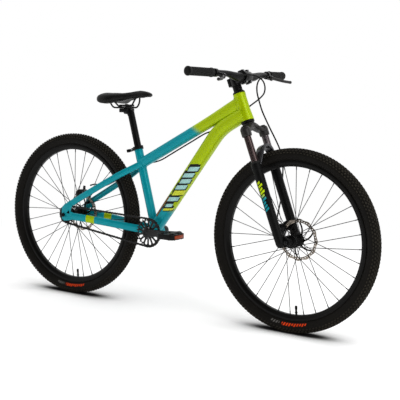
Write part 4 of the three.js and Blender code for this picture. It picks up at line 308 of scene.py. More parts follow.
def add(tree, kind, settings=None, inputs=None):
    """One node with its settings, values and links."""
    made = tree.nodes.new(kind)
    for key, value in (settings or {}).items():
        setattr(made, key, value)
    for key, value in (inputs or {}).items():
        if isinstance(value, bpy.types.NodeSocket):
            tree.links.new(value, made.inputs[key])
        else:
            made.inputs[key].default_value = value
    return made


def blank(store, name):
    """A material or a world with an empty node tree."""
    made = store.new(name)
    made.use_nodes = True
    made.node_tree.nodes.clear()
    return made, made.node_tree


def number(tree, operation, *values):
    return add(tree, "ShaderNodeMath", {"operation": operation}, dict(enumerate(values))).outputs[0]


def length(tree, vector):
    return add(tree, "ShaderNodeVectorMath", {"operation": "LENGTH"}, {0: vector}).outputs["Value"]


def mapped(tree, value, low, high, first, last, kind="LINEAR"):
    """A value between low and high turned into one between first and last."""
    return add(tree, "ShaderNodeMapRange", {"interpolation_type": kind},
               {0: value, 1: low, 2: high, 3: first, 4: last}).outputs[0]


def ramp(tree, value, low, high, first=0.0, last=1.0):
    """0 below low, 1 above high and soft between, or first and last instead."""
    return mapped(tree, value, low, high, first, last, "SMOOTHSTEP")


def times(tree, *masks):
    whole = masks[0]
    for mask in masks[1:]:
        whole = number(tree, "MULTIPLY", whole, mask)
    return whole


def between(tree, value, low, high, soft):
    return times(tree, ramp(tree, value, low - soft, low + soft),
                 number(tree, "SUBTRACT", 1.0, ramp(tree, value, high - soft, high + soft)))


def rise(tree, value, low, high):
    """A ramp in millimetres over a value in metres."""
    return ramp(tree, value, low * MM, high * MM)


def band(tree, value, low, high, soft=0.5):
    """The same for what lies between two lengths."""
    return between(tree, value, low * MM, high * MM, soft * MM)


def over(tree, under, code, mask):
    """One colour laid over another where the mask is 1."""
    top = code if isinstance(code, bpy.types.NodeSocket) else colour(code)
    return add(tree, "ShaderNodeMix", {"data_type": "RGBA"}, {0: mask, 6: under, 7: top}).outputs[2]


def along_line(tree, place, start, direction):
    """Distance from a point in millimetres along a direction, in metres."""
    away = add(tree, "ShaderNodeVectorMath", {"operation": "SUBTRACT"},
               {0: place, 1: [c * MM for c in start]})
    return add(tree, "ShaderNodeVectorMath", {"operation": "DOT_PRODUCT"},
               {0: away.outputs[0], 1: direction}).outputs["Value"]


def from_middle(tree, place):
    """Distance from the bicycle's middle plane."""
    return number(tree, "ABSOLUTE", add(tree, "ShaderNodeSeparateXYZ", None, {0: place}).outputs[1])


def noise(tree, place, size, detail):
    """Soft spots of about this size in millimetres."""
    return add(tree, "ShaderNodeTexNoise", None,
               {"Vector": place, "Scale": 1 / (size * MM), "Detail": detail}).outputs[0]


def lines_of_noise(tree, along, scale, detail):
    return add(tree, "ShaderNodeTexNoise", {"noise_dimensions": "1D"},
               {"W": along, "Scale": scale, "Detail": detail}).outputs[0]


def surface(tree, tone, gloss, height, depth, strength, more):
    """The last nodes of every finish; depth is the bump's, in millimetres."""
    bump = add(tree, "ShaderNodeBump", None,
               {"Height": height, "Distance": depth * MM, "Strength": strength})
    shader = add(tree, "ShaderNodeBsdfPrincipled", None, {
        "Base Color": tone, "Roughness": gloss, "Normal": bump.outputs[0], **more})
    add(tree, "ShaderNodeOutputMaterial", None, {"Surface": shader.outputs[0]})


PATCH = 60  # size of the slow changes of shade and gloss
DARK_SPOT, LIGHT_SPOT = 0.3, 0.7  # where the noise counts as all dark and all light


def finish(name, base, rough, metal=0.0, coat=0.0, grain=1.2, depth=0.02, mottle=0.1, spread=0.06,
           shine=0.5, pattern=None, lacquer=0.06):
    """A surface with a fine grain, a slow change of shade and uneven gloss.

    base is a colour code or a function that paints; grain and depth are millimetres.
    """
    material, tree = blank(bpy.data.materials, name)
    place = add(tree, "ShaderNodeTexCoord").outputs["Object"]
    fine, slow = noise(tree, place, grain, 3.0), noise(tree, place, PATCH, 5.0)
    if callable(base):
        paint = base(tree, place)
    else:
        paint = add(tree, "ShaderNodeRGB").outputs[0]
        paint.default_value = colour(base)
    shade = mapped(tree, slow, DARK_SPOT, LIGHT_SPOT, 1 - mottle, 1 + mottle)
    tone = add(tree, "ShaderNodeVectorMath", {"operation": "SCALE"}, {0: paint, "Scale": shade})
    gloss = mapped(tree, slow, DARK_SPOT, LIGHT_SPOT, max(rough - spread, 0.04), rough + spread)
    height = pattern(tree, place, fine) if pattern else fine
    surface(tree, tone.outputs[0], gloss, height, depth, 0.6, {
        "Metallic": metal, "Coat Weight": coat, "Coat Roughness": lacquer,
        "Specular IOR Level": shine})
    return material


TEAL, LIME, PALE, INK = "#0497a4", "#acc600", "#a6d6d2", "#0d0f0e"


def edge_along(tree, place, centre, normal, width):
    """0 on one side of a slanted line over the tube, 1 on the other, and soft between."""
    return rise(tree, along_line(tree, place, centre, normal), -width, width)


def two_colours(centre, normal, width):
    """Teal behind a slanted line and lime ahead of it."""
    def paint(tree, place):
        return over(tree, colour(TEAL), LIME, edge_along(tree, place, centre, normal, width))
    return paint


def slanted_bars(tree, along, across, pitch, slant):
    """A row of slanted bars: the leaned length, the place in a pitch and the bar's own chance."""
    leaned = number(tree, "MULTIPLY_ADD", across, slant, along)
    turns = number(tree, "DIVIDE", leaned, pitch * MM)
    chance = add(tree, "ShaderNodeTexWhiteNoise", {"noise_dimensions": "1D"},
                 {"W": number(tree, "FLOOR", turns)}).outputs["Value"]
    return leaned, number(tree, "FRACT", turns), chance


def above(tree, value, limit, soft):
    """1 where the value is over a limit that changes from place to place."""
    return ramp(tree, number(tree, "SUBTRACT", value, limit), -soft, soft)


def shard_field(tree, along, across, side, back, up):
    """Slanted bars of uneven width and reach, as a mask; back and up move the whole row."""
    along = number(tree, "ADD", along, back * MM)
    across = number(tree, "ADD", across, up * MM)
    leaned, phase, chance = slanted_bars(tree, along, across, 31, 0.85)
    width = mapped(tree, chance, 0.0, 1.0, 0.62, 0.9)
    foot = mapped(tree, chance, 0.0, 1.0, -19 * MM, -27 * MM)
    top = mapped(tree, number(tree, "PINGPONG", chance, 0.4), 0.0, 0.4, 3 * MM, 14 * MM)
    return times(tree, band(tree, leaned, 108, 342), ramp(tree, phase, 0.07, 0.1),
                 above(tree, width, phase, 0.015), above(tree, across, foot, 0.5 * MM),
                 above(tree, top, across, 0.5 * MM), rise(tree, side, 5, 6)), chance


def down_tube_paint(tree, place):
    """Teal fading to lime, with a plain row of slanted pale bars over black along each side."""
    paint = two_colours((-24, 0, 419), (0.66, 0, 0.75), 24)(tree, place)
    along = along_line(tree, place, (-108, 0, 318), (0.583, 0, 0.813))
    across = along_line(tree, place, (-108, 0, 318), (-0.813, 0, 0.583))
    side = from_middle(tree, place)
    for back, up in ((-9, -7.5), (-4, -4), (3, 2), (-11, -1)):
        under, _ = shard_field(tree, along, across, side, back, up)
        paint = over(tree, paint, INK, under)
    strip = times(tree, band(tree, along, 66, 168), band(tree, across, 9, 21),
                  rise(tree, side, 5, 6))
    paint = over(tree, paint, INK, strip)
    _, phase, _ = slanted_bars(tree, along, across, 7, 0.4)
    ticks = times(tree, strip, band(tree, across, 12, 17, 0.4),
                  between(tree, phase, 0.2, 0.75, 0.05))
    paint = over(tree, paint, "#b9781a", ticks)
    field, chance = shard_field(tree, along, across, side, 0, 0)
    tone = over(tree, colour(PALE), "#d3dc3c", ramp(tree, chance, 0.72, 0.76))
    return over(tree, paint, tone, field)


FORK_AHEAD = STEERING.to_3x3() @ Vector((1, 0, 0))


def leg_bars(tree, place):
    """Black legs with a row of small slanted bars down each outer face, lime over teal."""
    start = STEERING @ Vector((LEG_X, 0, 0))
    along = along_line(tree, place, start, STEERING.to_3x3() @ Vector((0, 0, 1)))
    across = along_line(tree, place, start, FORK_AHEAD)
    side = from_middle(tree, place)
    leaned, phase, chance = slanted_bars(tree, along, across, 13, -0.5)
    reach = mapped(tree, chance, 0.0, 1.0, 3 * MM, 11 * MM)
    field = times(tree, band(tree, leaned, 130, 247), rise(tree, across, -9.5, -8.5),
                  above(tree, reach, across, 0.5 * MM), rise(tree, side, 68, 69),
                  between(tree, phase, 0.14, 0.78, 0.03))
    tone = over(tree, colour("#0d93a0"), "#c3de08", rise(tree, along, 176, 196))
    return over(tree, colour("#070707"), tone, field)


def lime_bands(tree, place):
    """Chain stay colour: a lime block sprayed between two masks."""
    front, back = (edge_along(tree, place, (x, 0, 335), (1, 0, 0), 1.2) for x in (-375, -418))
    return over(tree, colour(TEAL), LIME, number(tree, "SUBTRACT", back, front))


def painted_reflection_lines(side, dark, light):
    """Polished leg with a painted reflection: bright and dark lines painted down it, standing for
    the room, which change with the angle round its axis.
    """
    def paint(tree, place):
        start = STEERING @ Vector((LEG_X, side * LEG_Y, 0))
        ahead = along_line(tree, place, start, FORK_AHEAD)
        across = along_line(tree, place, start, (0, 1, 0))
        lines = lines_of_noise(tree, number(tree, "ARCTAN2", across, ahead), 3.4, 2.0)
        return over(tree, colour(dark), light, ramp(tree, lines, 0.5, 0.62))
    return paint


def wall_paint(axle_x):
    """Tyre wall: black, with a short row of plain orange and grey bars low on each side."""
    def paint(tree, place):
        centre = (axle_x, 0, AXLE_Z)
        ahead = along_line(tree, place, centre, (1, 0, 0))
        high = along_line(tree, place, centre, (0, 0, 1))
        flat = add(tree, "ShaderNodeCombineXYZ", None, {0: ahead, 1: high})
        radius = length(tree, flat.outputs[0])
        along = number(tree, "MULTIPLY", number(tree, "ARCTAN2", high, ahead), 312 * MM)
        side = from_middle(tree, place)
        _, phase, chance = slanted_bars(tree, along, radius, 11, 0.5)
        reach = mapped(tree, chance, 0.0, 1.0, 314 * MM, 318.5 * MM)
        inside = number(tree, "SUBTRACT", reach, radius)
        bars = times(tree, rise(tree, inside, 0, 0.6), rise(tree, radius, 306.5, 307.2),
                     rise(tree, side, 14, 16), between(tree, phase, 0.2, 0.72, 0.04))
        # Lengths round the wall, measured from straight ahead: grey first, then orange
        paint = over(tree, colour("#110f0c"), "#5a5855",
                     times(tree, bars, band(tree, along, -561, -524)))
        return over(tree, paint, "#e2400c", times(tree, bars, band(tree, along, -514, -410)))
    return paint


def cells(tree, place, height):
    """Corner-cube cells, 3.2 mm across."""
    return add(tree, "ShaderNodeTexVoronoi", {"feature": "F1", "distance": "MANHATTAN"},
               {"Vector": place, "Scale": 1 / (3.2 * MM), "Randomness": 0.0}).outputs["Distance"]


def leather(tree, place, height):
    """Grain of coated cloth: pebbles about 2.4 mm, drawn coarser than real so that they show."""
    pebbles = add(tree, "ShaderNodeTexVoronoi", {"feature": "DISTANCE_TO_EDGE"},
                  {"Vector": place, "Scale": 1 / (2.4 * MM)}).outputs["Distance"]
    return number(tree, "ADD", ramp(tree, pebbles, 0.0, 0.25), height)


def stainless(name, axle_x):
    """Ground stainless disc: fine rings round its own axle, dark arms inside the track."""
    material, tree = blank(bpy.data.materials, name)
    place = add(tree, "ShaderNodeTexCoord").outputs["Object"]
    centred = add(tree, "ShaderNodeMapping", None,
                  {"Vector": place, "Location": [-axle_x * MM, 0, -AXLE_Z * MM]})
    split = add(tree, "ShaderNodeSeparateXYZ", None, {0: centred.outputs[0]}).outputs
    flat = add(tree, "ShaderNodeCombineXYZ", None, {0: split[0], 1: split[2]})
    radius = length(tree, flat.outputs[0])
    # Grinding rings at 0.8 mm, coarser than real ones so that they show
    rings = lines_of_noise(tree, radius, 1 / (0.8 * MM), 4.0)
    tone = over(tree, colour("#24211f"), "#958b80", rise(tree, radius, 63, 67))
    gloss = mapped(tree, rings, DARK_SPOT, LIGHT_SPOT, 0.22, 0.4)
    surface(tree, tone, gloss, rings, 0.03, 0.5, {"Metallic": 0.95})
    return material


# Enamel under clear lacquer on welded aluminium tube: even colour with a fine metallic flake,
# a soft gloss and a faint orange peel.
PAINT = dict(rough=0.4, metal=0.3, coat=0.2, grain=3.0, depth=0.012, mottle=0.05, spread=0.05,
             shine=0.08, lacquer=0.12)
teal_enamel = finish("teal enamel under lacquer", TEAL, **PAINT)
lime_enamel = finish("lime enamel under lacquer", LIME, **PAINT)
top_tube_enamel = finish("teal to lime enamel, top tube",
                         two_colours((98, 0, 734), (0.527, 0, 0.85), 15), **PAINT)
down_tube_enamel = finish("teal to lime enamel, down tube", down_tube_paint, **PAINT)
stay_enamel = finish("teal enamel with lime blocks", lime_bands, **PAINT)
# Bead-blasted aluminium, anodised black: fine even satin, a little metal in the highlights.
anodised_black = finish("black anodised aluminium, blasted", "#0a0a0a", 0.4, metal=0.15, grain=0.9,
                        mottle=0.12, spread=0.08, shine=0.15)
# Aluminium extruded and anodised: rims are a little glossier along their walls.
rim_black = finish("black anodised rim extrusion", "#0b0a09", 0.36, grain=1.4, depth=0.015,
                   shine=0.12)
# Powder coat on forged aluminium: gloss black with a fine orange peel.
powder_black = finish("gloss black powder coat", "#070707", 0.3, coat=0.2, grain=1.6, depth=0.03,
                      mottle=0.15, shine=0.15, lacquer=0.12)
# Painted magnesium casting of the fork legs: deep black, silky, over a faintly wavy casting.
lower_black = finish("satin black paint on cast magnesium", leg_bars, 0.46, grain=4.0, depth=0.03,
                     shine=0.12)
# Satin dark grey paint on the forged fork crown.
crown_grey = finish("satin graphite paint on forged alloy", "#232120", 0.38, metal=0.1, depth=0.03,
                    shine=0.35)
# Cast alloy under dark silver lacquer: bright only where the light strikes.
arch_silver = finish("dark silver lacquer on cast alloy", "#4b4b4d", 0.24, metal=0.85, grain=1.6,
                     depth=0.03)
# Zinc-plated and stainless hardware.
bright_steel = finish("zinc plated steel", "#97989a", 0.3, metal=1.0, grain=0.8, depth=0.015,
                      mottle=0.12)
black_steel = finish("black oxide steel, oiled", "#1a1a1b", 0.36, metal=0.6, grain=0.9, mottle=0.2,
                     shine=0.3)
# Inner chain links, plates and rollers: dark steel where the blacking has worn, lighter than the
# outer links.
worn_steel = finish("worn dark steel, oiled", "#353330", 0.34, metal=0.8, grain=0.9, mottle=0.25)
spoke_black = finish("black stainless spoke wire", "#0b0a09", 0.5, metal=0.1, grain=1.5,
                     depth=0.005, shine=0.12)
# Hard anodised and polished fork legs, with a painted reflection: bright and dark lines standing
# for the room are painted down each leg, brown and silver on the right one; the left leg's lighter
# grey is painted reflection too.
POLISH = dict(rough=0.16, metal=0.85, grain=2.5, depth=0.004)
leg_polish_and_painted_reflection = {
    "right": finish("polished dark anodised fork leg", painted_reflection_lines(-1, "#2e2222", "#a3908e"),
                    **POLISH),
    "left": finish("polished grey anodised fork leg", painted_reflection_lines(1, "#4f484a", "#b5b0b3"),
                   **POLISH),
}
# Moulded rubber of the tyre walls: matt, faintly brown, with a fine mould texture.
WALL = dict(rough=0.62, grain=1.6, depth=0.06, mottle=0.18, shine=0.1)
front_wall_rubber = finish("black tyre wall rubber, front", wall_paint(AXLE_X), **WALL)
rear_wall_rubber = finish("black tyre wall rubber, rear", wall_paint(-AXLE_X), **WALL)
# Tread: the same rubber, greyer where the mould parts and the first dust have touched the blocks.
tread_rubber = finish("vulcanised black tread rubber", "#28251f", 0.78, grain=2.2, depth=0.1,
                      mottle=0.3, shine=0.12)
grip_rubber = finish("soft black grip rubber", "#131312", 0.66, grain=0.9, depth=0.06, mottle=0.15,
                     shine=0.3)
# Extruded housing jacket: smooth black plastic.
housing_black = finish("black plastic cable housing", "#060606", 0.5, grain=1.0, depth=0.01,
                       shine=0.12)
# Moulded nylon: clips, caps and pedal bodies.
nylon_black = finish("black moulded nylon", "#0b0b0a", 0.5, grain=0.8, depth=0.04, mottle=0.12,
                     shine=0.15)
# Amber acrylic with corner-cube cells moulded on its back: small facets that catch the light.
amber_acrylic = finish("amber prismatic acrylic", "#973606", 0.3, coat=0.2, shine=0.2, grain=2.0,
                       depth=0.9, mottle=0.12, pattern=cells)
# Polyurethane-coated cloth over foam: soft satin black with a pebbled grain.
cover_black = finish("black coated saddle cloth", "#0d0c0b", 0.5, grain=1.5, depth=0.12, mottle=0.2,
                     shine=0.18, pattern=leather)
thread_black = finish("black bonded thread", "#2b2b2d", 0.7, grain=0.6, depth=0.1)
front_disc_steel = stainless("ground stainless disc, front", AXLE_X)
rear_disc_steel = stainless("ground stainless disc, rear", -AXLE_X)


# -------------------- repeats by Geometry Nodes

def copying_tree(name, sockets, sources):
    """A tree that sets an item on points, makes one mesh of the copies and gives it a finish."""
    tree = bpy.data.node_groups.new(name, "GeometryNodeTree")
    ids = {label: tree.interface.new_socket(
        label, in_out="INPUT", socket_type="NodeSocket" + kind).identifier
        for label, kind in sockets}
    tree.interface.new_socket("Geometry", in_out="OUTPUT", socket_type="NodeSocketGeometry")
    given = add(tree, "NodeGroupInput").outputs
    points, item, turn = sources(tree, given)
    rotation = add(tree, "FunctionNodeEulerToRotation", None, {0: turn})
    copies = add(tree, "GeometryNodeInstanceOnPoints", None,
                 {"Points": points, "Instance": item, "Rotation": rotation.outputs[0]})
    whole = add(tree, "GeometryNodeRealizeInstances", None, {0: copies.outputs[0]})
    dressed = add(tree, "GeometryNodeSetMaterial", None,
                  {"Geometry": whole.outputs[0], "Material": given["Finish"]})
    add(tree, "NodeGroupOutput", None, {0: dressed.outputs[0]})
    return tree, ids


def round_an_axle(tree, given):
    """Points at the origin, each with its even share of a turn about Y."""
    points = add(tree, "GeometryNodePoints", None, {"Count": given["Count"]})
    step = number(tree, "DIVIDE", -TAU, given["Count"])
    angle = number(tree, "MULTIPLY", add(tree, "GeometryNodeInputIndex").outputs[0], step)
    turn = add(tree, "ShaderNodeCombineXYZ", None, {1: angle})
    return points.outputs[0], given["Item"], turn.outputs[0]


def on_given_places(tree, given):
    """The points of a row of places, each with its own turn."""
    item = add(tree, "GeometryNodeObjectInfo", None, {"Object": given["Item"]})
    turn = add(tree, "GeometryNodeInputNamedAttribute", {"data_type": "FLOAT_VECTOR"},
               {"Name": "turn"})
    return given["Places"], item.outputs["Geometry"], turn.outputs[0]


RING, RING_INPUTS = copying_tree("copies round an axle", [
    ("Item", "Geometry"), ("Count", "Int"), ("Finish", "Material")], round_an_axle)
PLACES, PLACES_INPUTS = copying_tree("items on places", [
    ("Places", "Geometry"), ("Item", "Object"), ("Finish", "Material")], on_given_places)


def plain_object(shape):
    mesh = bpy.data.meshes.new("item")
    mesh.from_pydata([tuple(p) for p in shape[0]], [], shape[1])
    holder = bpy.data.objects.new("item", mesh)
    bpy.context.scene.collection.objects.link(holder)
    return holder


def grown(holder, tree, values):
    """The plain mesh that a tree makes on an object."""
    modifier = holder.modifiers.new("repeat", "NODES")
    modifier.node_group = tree
    for key, value in values.items():
        modifier[key] = value
    made = evaluated(holder)
    shape = [v.co.copy() for v in made.vertices], [tuple(p.vertices) for p in made.polygons]
    bpy.data.meshes.remove(made)
    bpy.data.objects.remove(holder)
    return shape


def around(item, count, material):
    """Copies of an item round the Y axis, as one layer of a piece."""
    values = {RING_INPUTS["Count"]: count, RING_INPUTS["Finish"]: material}
    return grown(plain_object(item), RING, values), material


def on_places(item, places, material):
    """Copies of an item on places of (point, euler turn)."""
    model = plain_object(item)
    holder = plain_object(([p for p, _ in places], []))
    turns = holder.data.attributes.new("turn", "FLOAT_VECTOR", "POINT")
    turns.data.foreach_set("vector", [v for _, turn in places for v in turn])
    values = {PLACES_INPUTS["Item"]: model, PLACES_INPUTS["Finish"]: material}
    shape = grown(holder, PLACES, values)
    bpy.data.objects.remove(model)
    return shape


# -------------------- pieces

SAME_POINT = 2e-6  # metres; points nearer than this are made one


def part(name, body, layers, node=None, sharp=36, place=None):
    """One piece of the bicycle from layers of (shape, finish), in millimetres.

    It replaces the solid named node, or the one with its own name, or none when node is False.
    """
    if node is None:
        node = name.replace(" ", "_")
    name = name.replace(" ", "-")
    mesh = bpy.data.meshes.new(name)
    points, faces, marks = [], [], []
    for index, (shape, material) in enumerate(layers):
        mesh.materials.append(material)
        if place is not None:
            shape = moved(shape, place)
        build = bmesh.new()
        corners = [build.verts.new(Vector(p) * MM) for p in shape[0]]
        for face in shape[1]:
            try:
                build.faces.new([corners[i] for i in face])
            except ValueError:
                pass  # the same face twice
        bmesh.ops.remove_doubles(build, verts=build.verts, dist=SAME_POINT)
        loose = [v for v in build.verts if not v.link_faces]
        bmesh.ops.delete(build, geom=loose, context="VERTS")
        bmesh.ops.recalc_face_normals(build, faces=build.faces)
        build.verts.index_update()
        start = len(points)
        points += [tuple(v.co) for v in build.verts]
        for face in build.faces:
            faces.append([start + v.index for v in face.verts])
            marks.append(index)
        build.free()
    mesh.from_pydata(points, [], faces)
    mesh.polygons.foreach_set("material_index", marks)
    mesh.shade_smooth()
    mesh.set_sharp_from_angle(angle=math.radians(sharp))
    made = bpy.data.objects.new(name, mesh)
    bpy.context.scene.collection.objects.link(made)
    if body:
        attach(made, body)
    if node:
        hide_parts(node)
    return made


def bolt_head(radius, height):
    """A cap bolt head standing on Z, with its key socket."""
    socket = height * 0.35
    rim = softened([(radius * 0.45, socket), (radius * 0.45, height), (radius, height),
                    (radius, 0), (0, 0)], 0.3)
    return turned([(0, socket), *rim], 12, upright=True)


# -------------------- wheels

TREAD_RADIUS = 341.6
PITCHES = 148
SPOKES = 32
HOLE_CIRCLE, NIPPLE_CIRCLE = 22.8, 277.5
FLANGE = 27.0  # from the middle of a hub to the outside of its flanges
casing_half = [(292.4, 9.2), (292.4, 12.2), (298.6, 12.5), (301.5, 13.8), (303.5, 17.6),
               (310, 22.8), (320, 25.6), (329, 24.6), (335.6, 20.8), (339.8, 14.0), (341.3, 6.5),
               (TREAD_RADIUS, 0)]
inner_half = [(338.2, 0), (336.5, 10), (331, 18), (321, 21.6), (311, 19.4), (304, 14), (299, 9.4)]
rim_half = [(298, 15), (289.6, 15), (286, 13.6), (277.4, 8.2), (276.8, 6.5)]
well_half = [(284.5, 0), (288.5, 9), (292, 12.7), (298, 12.7)]


def other_half(half):
    """The mirror image of half a profile, run the other way."""
    return [(r, -s) for r, s in reversed(half)]


def block(radius, side, lean, around_mm, across_mm, height):
    """A tread block: foot sunk in the casing, top a little smaller."""
    points = [Vector((x * around_mm / 2 * scale, y * across_mm / 2 * scale, low))
              for low, scale in ((-1.2, 1.0), (height, 0.8))
              for x, y in ((-1, -1), (1, -1), (1, 1), (-1, 1))]
    faces = [(3, 2, 1, 0), (4, 5, 6, 7), (0, 1, 5, 4), (1, 2, 6, 5), (2, 3, 7, 6), (3, 0, 4, 7)]
    return moved((points, faces), at(0, side, radius) @ tilt(-lean, "X"))


def tread_pitch():
    """One pitch of tread: small staggered blocks in the middle, larger ones on the shoulders."""
    half_pitch = Matrix.Rotation(TAU / PITCHES / 2, 4, "Y")
    blocks = []
    for radius, side, lean, size, staggered in (
            (TREAD_RADIUS, 0, 0, (8.0, 5.6, 3.3), False), (341.1, 7.2, 6, (7.4, 5.2, 3.7), True),
            (339.3, 14.0, 20, (8.0, 5.4, 4.2), False), (335.4, 20.2, 42, (7.6, 6.0, 4.4), True),
            (328.8, 24.0, 68, (8.4, 4.8, 2.8), False)):
        for sign in (1, -1) if side else (1,):
            shape = block(radius, sign * side, sign * lean, *size)
            blocks.append(moved(shape, half_pitch) if staggered else shape)
    return joined(*blocks)


def spoke_quartet():
    """The four spokes after which the lacing repeats, with their nipples and heads."""
    wires, nipples = [], []
    for i in range(4):
        side = 1 if i % 2 else -1
        lean = 1 if (i // 2) % 2 else -1
        rim_angle = TAU * i / SPOKES
        hub_angle = rim_angle + lean * 6 * math.pi / (SPOKES / 2) / 1.15
        hub_x, hub_z = polar(HOLE_CIRCLE, hub_angle)
        rim_x, rim_z = polar(NIPPLE_CIRCLE, rim_angle)
        foot = Vector((hub_x, side * (FLANGE - 1.6 + lean * 1.5), hub_z))
        head = Vector((rim_x, side * 2.5, rim_z))
        wires.append(bar_between(foot, head, 1.3, 8, 0.1))
        wires.append(bar_between(foot + Vector((0, -lean * 2.6, 0)),
                                 foot + Vector((0, lean * 1.2, 0)), 2.0, 8, 0.4))
        inward = (foot - head).normalized()
        nipples.append(bar_between(head, head + inward * 13, 2.0, 8, 0.6))
    return joined(*wires), joined(*nipples)


def hub_shape(width, disc_side, body_end):
    end, face = width / 2, disc_side - 1.25
    return lathe([
        (5.2, -end), (9.5, -end), (15, -body_end), (15, -FLANGE - 1), (25, -FLANGE),
        (25, -FLANGE + 3.2), (16.5, -FLANGE + 5), (13.5, -10), (13.5, 10), (16.5, FLANGE - 5),
        (25, FLANGE - 3.2), (25, FLANGE), (15, FLANGE + 1), (15, face - 3.2), (22, face - 3),
        (22, face), (17.2, face), (17.2, disc_side + 1.9), (9.5, disc_side + 3.8), (9.5, end),
        (5.2, end)], 0.8, 48, closed=True, steps=2)


WAVES, ARMS, SLOTS = 12, 6, 42
DISC_HALF = 0.95  # half the thickness of a brake disc


def disc_shape(side):
    """Waved brake disc: narrow drilled track on six thin swept arms."""
    turns = [TAU * i / 144 for i in range(144)]
    outer = [polar(78.2 + 1.8 * math.cos(WAVES * a), a) for a in turns]
    holes = [circle(18, 40)]
    arm_radii, track = (25.4, 34, 44, 54, 62), 65.8

    def arm_edge(r, arm, turn):
        """Angle of an arm's edge at a radius; turn is 1 or -1 for its two edges."""
        return TAU * arm / ARMS + 0.5 * (r - 25) / 41 + turn * 3.6 / r

    for i in range(ARMS):
        line = [polar(r, arm_edge(r, i, 1)) for r in arm_radii]
        first, last = arm_edge(track, i, 1), arm_edge(track, i + 1, -1)
        line += [polar(track, first + (last - first) * t / 8) for t in range(9)]
        line += [polar(r, arm_edge(r, i + 1, -1)) for r in reversed(arm_radii)]
        holes.append(softened(line, 2.0, closed=True, steps=2))
    slot = softened([(-2.8, -1.4), (2.8, -1.4), (2.8, 1.4), (-2.8, 1.4)], 1.3, closed=True, steps=2)
    for i in range(SLOTS):
        angle = TAU * (i + 0.5) / SLOTS
        x, z = polar(71.3 + (1.8, 0, -1.8)[i % 3], angle)
        c, s = polar(1, angle + math.pi / 2 + 0.5)
        holes.append([(x + p.x * c - p.y * s, z + p.x * s + p.y * c) for p in slot])
    return plate(outer, side - DISC_HALF, side + DISC_HALF, holes, edge=0.2)


def valve(place, body, name):
    """Inner tube valve: stem, knurled nut and cap, pointing from the rim to the hub."""
    stem = lathe([(0, 0), (4.0, 0), (4.0, 20), (2.6, 20), (2.6, 30), (0, 30)], 0.3, 16,
                 upright=True)
    nut = sleeve(4.05, 5.8, 6.5, 9.2, 0.6, 12, upright=True)
    cap = lathe([(0, 20.4), (4.9, 20.4), (4.9, 31), (3.8, 34), (0, 34)], 0.8, 12, upright=True)
    part(name, body, [(joined(stem, nut), nylon_black), (cap, housing_black)], node=False,
         place=place @ tilt(-5) @ at(0, 0, -277))


def wheel(end, place, width, disc_side, body_end, disc, wall):
    body = end + "_wheel"
    casing = lathe(casing_half + other_half(casing_half[:-1]) + other_half(inner_half)
                   + inner_half[1:], 1.6, 128, closed=True, steps=2)
    part(end + " tyre", body, [(casing, wall), around(tread_pitch(), PITCHES, tread_rubber)],
         sharp=30, place=place)
    wires, nipples = spoke_quartet()
    rim = lathe(rim_half + other_half(rim_half) + other_half(well_half) + well_half[1:], 1.0, 128,
                closed=True, steps=2)
    part(end + " rim", body, [(rim, rim_black), around(nipples, SPOKES // 4, black_steel)],
         place=place)
    part(end + " hub and spokes", body, [
        (hub_shape(width, disc_side, body_end), anodised_black),
        around(wires, SPOKES // 4, spoke_black)], node=end + "_hub", place=place)
    head = moved(bolt_head(4.4, 2.6), at(22, disc_side + DISC_HALF, 0) @ tilt(-90, "X"))
    part(end + " brake disc", body, [(disc_shape(disc_side), disc), around(head, 6, black_steel)],
         end + "_rotor", place=place)
    valve(place, body, end + " valve")


def axle(end, place, body, seat):
    across = 15 / math.sqrt(3)  # half the nut's width over its corners
    nuts = [lathe([(4.8, s * seat), (across, s * seat), (across, s * (seat + 6.6)),
                   (across - 1.4, s * (seat + 8)), (4.8, s * (seat + 8))], 0.5, 6, closed=True)
            for s in (-1, 1)]
    bar = lathe([(0, -seat - 12), (4.1, -seat - 12), (4.8, -seat - 11), (4.8, seat + 11),
                 (4.1, seat + 12), (0, seat + 12)], 0.2, 24)
    part(end + " axle", body, [(bar, black_steel), (joined(*nuts), black_steel)], sharp=25,
         place=place)


FRONT_DISC_SIDE, REAR_DISC_SIDE = 38.5, 52
wheel("front", FRONT, 100, FRONT_DISC_SIDE, 30.2, front_disc_steel, front_wall_rubber)
wheel("rear", REAR, 135, REAR_DISC_SIDE, 54.4, rear_disc_steel, rear_wall_rubber)
axle("front", FRONT, "fork_lower", 59.6)
axle("rear", REAR, "frame", 74.1)


# -------------------- chain drive

CHAIN_LINE = 50
CHAIN_PITCH = 12.7
RING_TEETH, COG_TEETH = 28, 18


def pitch_radius(teeth):
    return CHAIN_PITCH / 2 / math.sin(math.pi / teeth)


RING_RADIUS, COG_RADIUS = pitch_radius(RING_TEETH), pitch_radius(COG_TEETH)
DRIVE = Vector((-AXLE_X - BRACKET_X, AXLE_Z - BRACKET_Z))
LEAN = math.asin((RING_RADIUS - COG_RADIUS) / DRIVE.length)
RUN = DRIVE.length * math.cos(LEAN)


def rollers():
    """Roller centres about the bottom bracket, one for each link."""
    ring_turn, cog_turn = math.pi + 2 * LEAN, math.pi - 2 * LEAN
    ring_pitches, cog_pitches = ring_turn * RING_TEETH / TAU, cog_turn * COG_TEETH / TAU
    links = 2 * round((ring_pitches + cog_pitches + 2 * RUN / CHAIN_PITCH) / 2)
    run_pitches = (links - ring_pitches - cog_pitches) / 2
    leave = math.atan2(DRIVE.y, DRIVE.x) - math.pi / 2 + LEAN
    start = leave - ring_turn

    def on_ring(angle):
        return Vector(polar(RING_RADIUS, angle))

    def on_cog(angle):
        return Vector(polar(COG_RADIUS, angle, *DRIVE))

    stretches = (
        (ring_pitches, lambda t: on_ring(start + ring_turn * t)),
        (run_pitches, lambda t: on_ring(leave).lerp(on_cog(leave), t)),
        (cog_pitches, lambda t: on_cog(leave + cog_turn * t)),
        (run_pitches, lambda t: on_cog(start).lerp(on_ring(start), t)))
    points = []
    for i in range(links):
        step = i + 0.5
        for pitches, spot in stretches:
            if step < pitches:
                points.append(spot(step / pitches))
                break
            step -= pitches
    return points


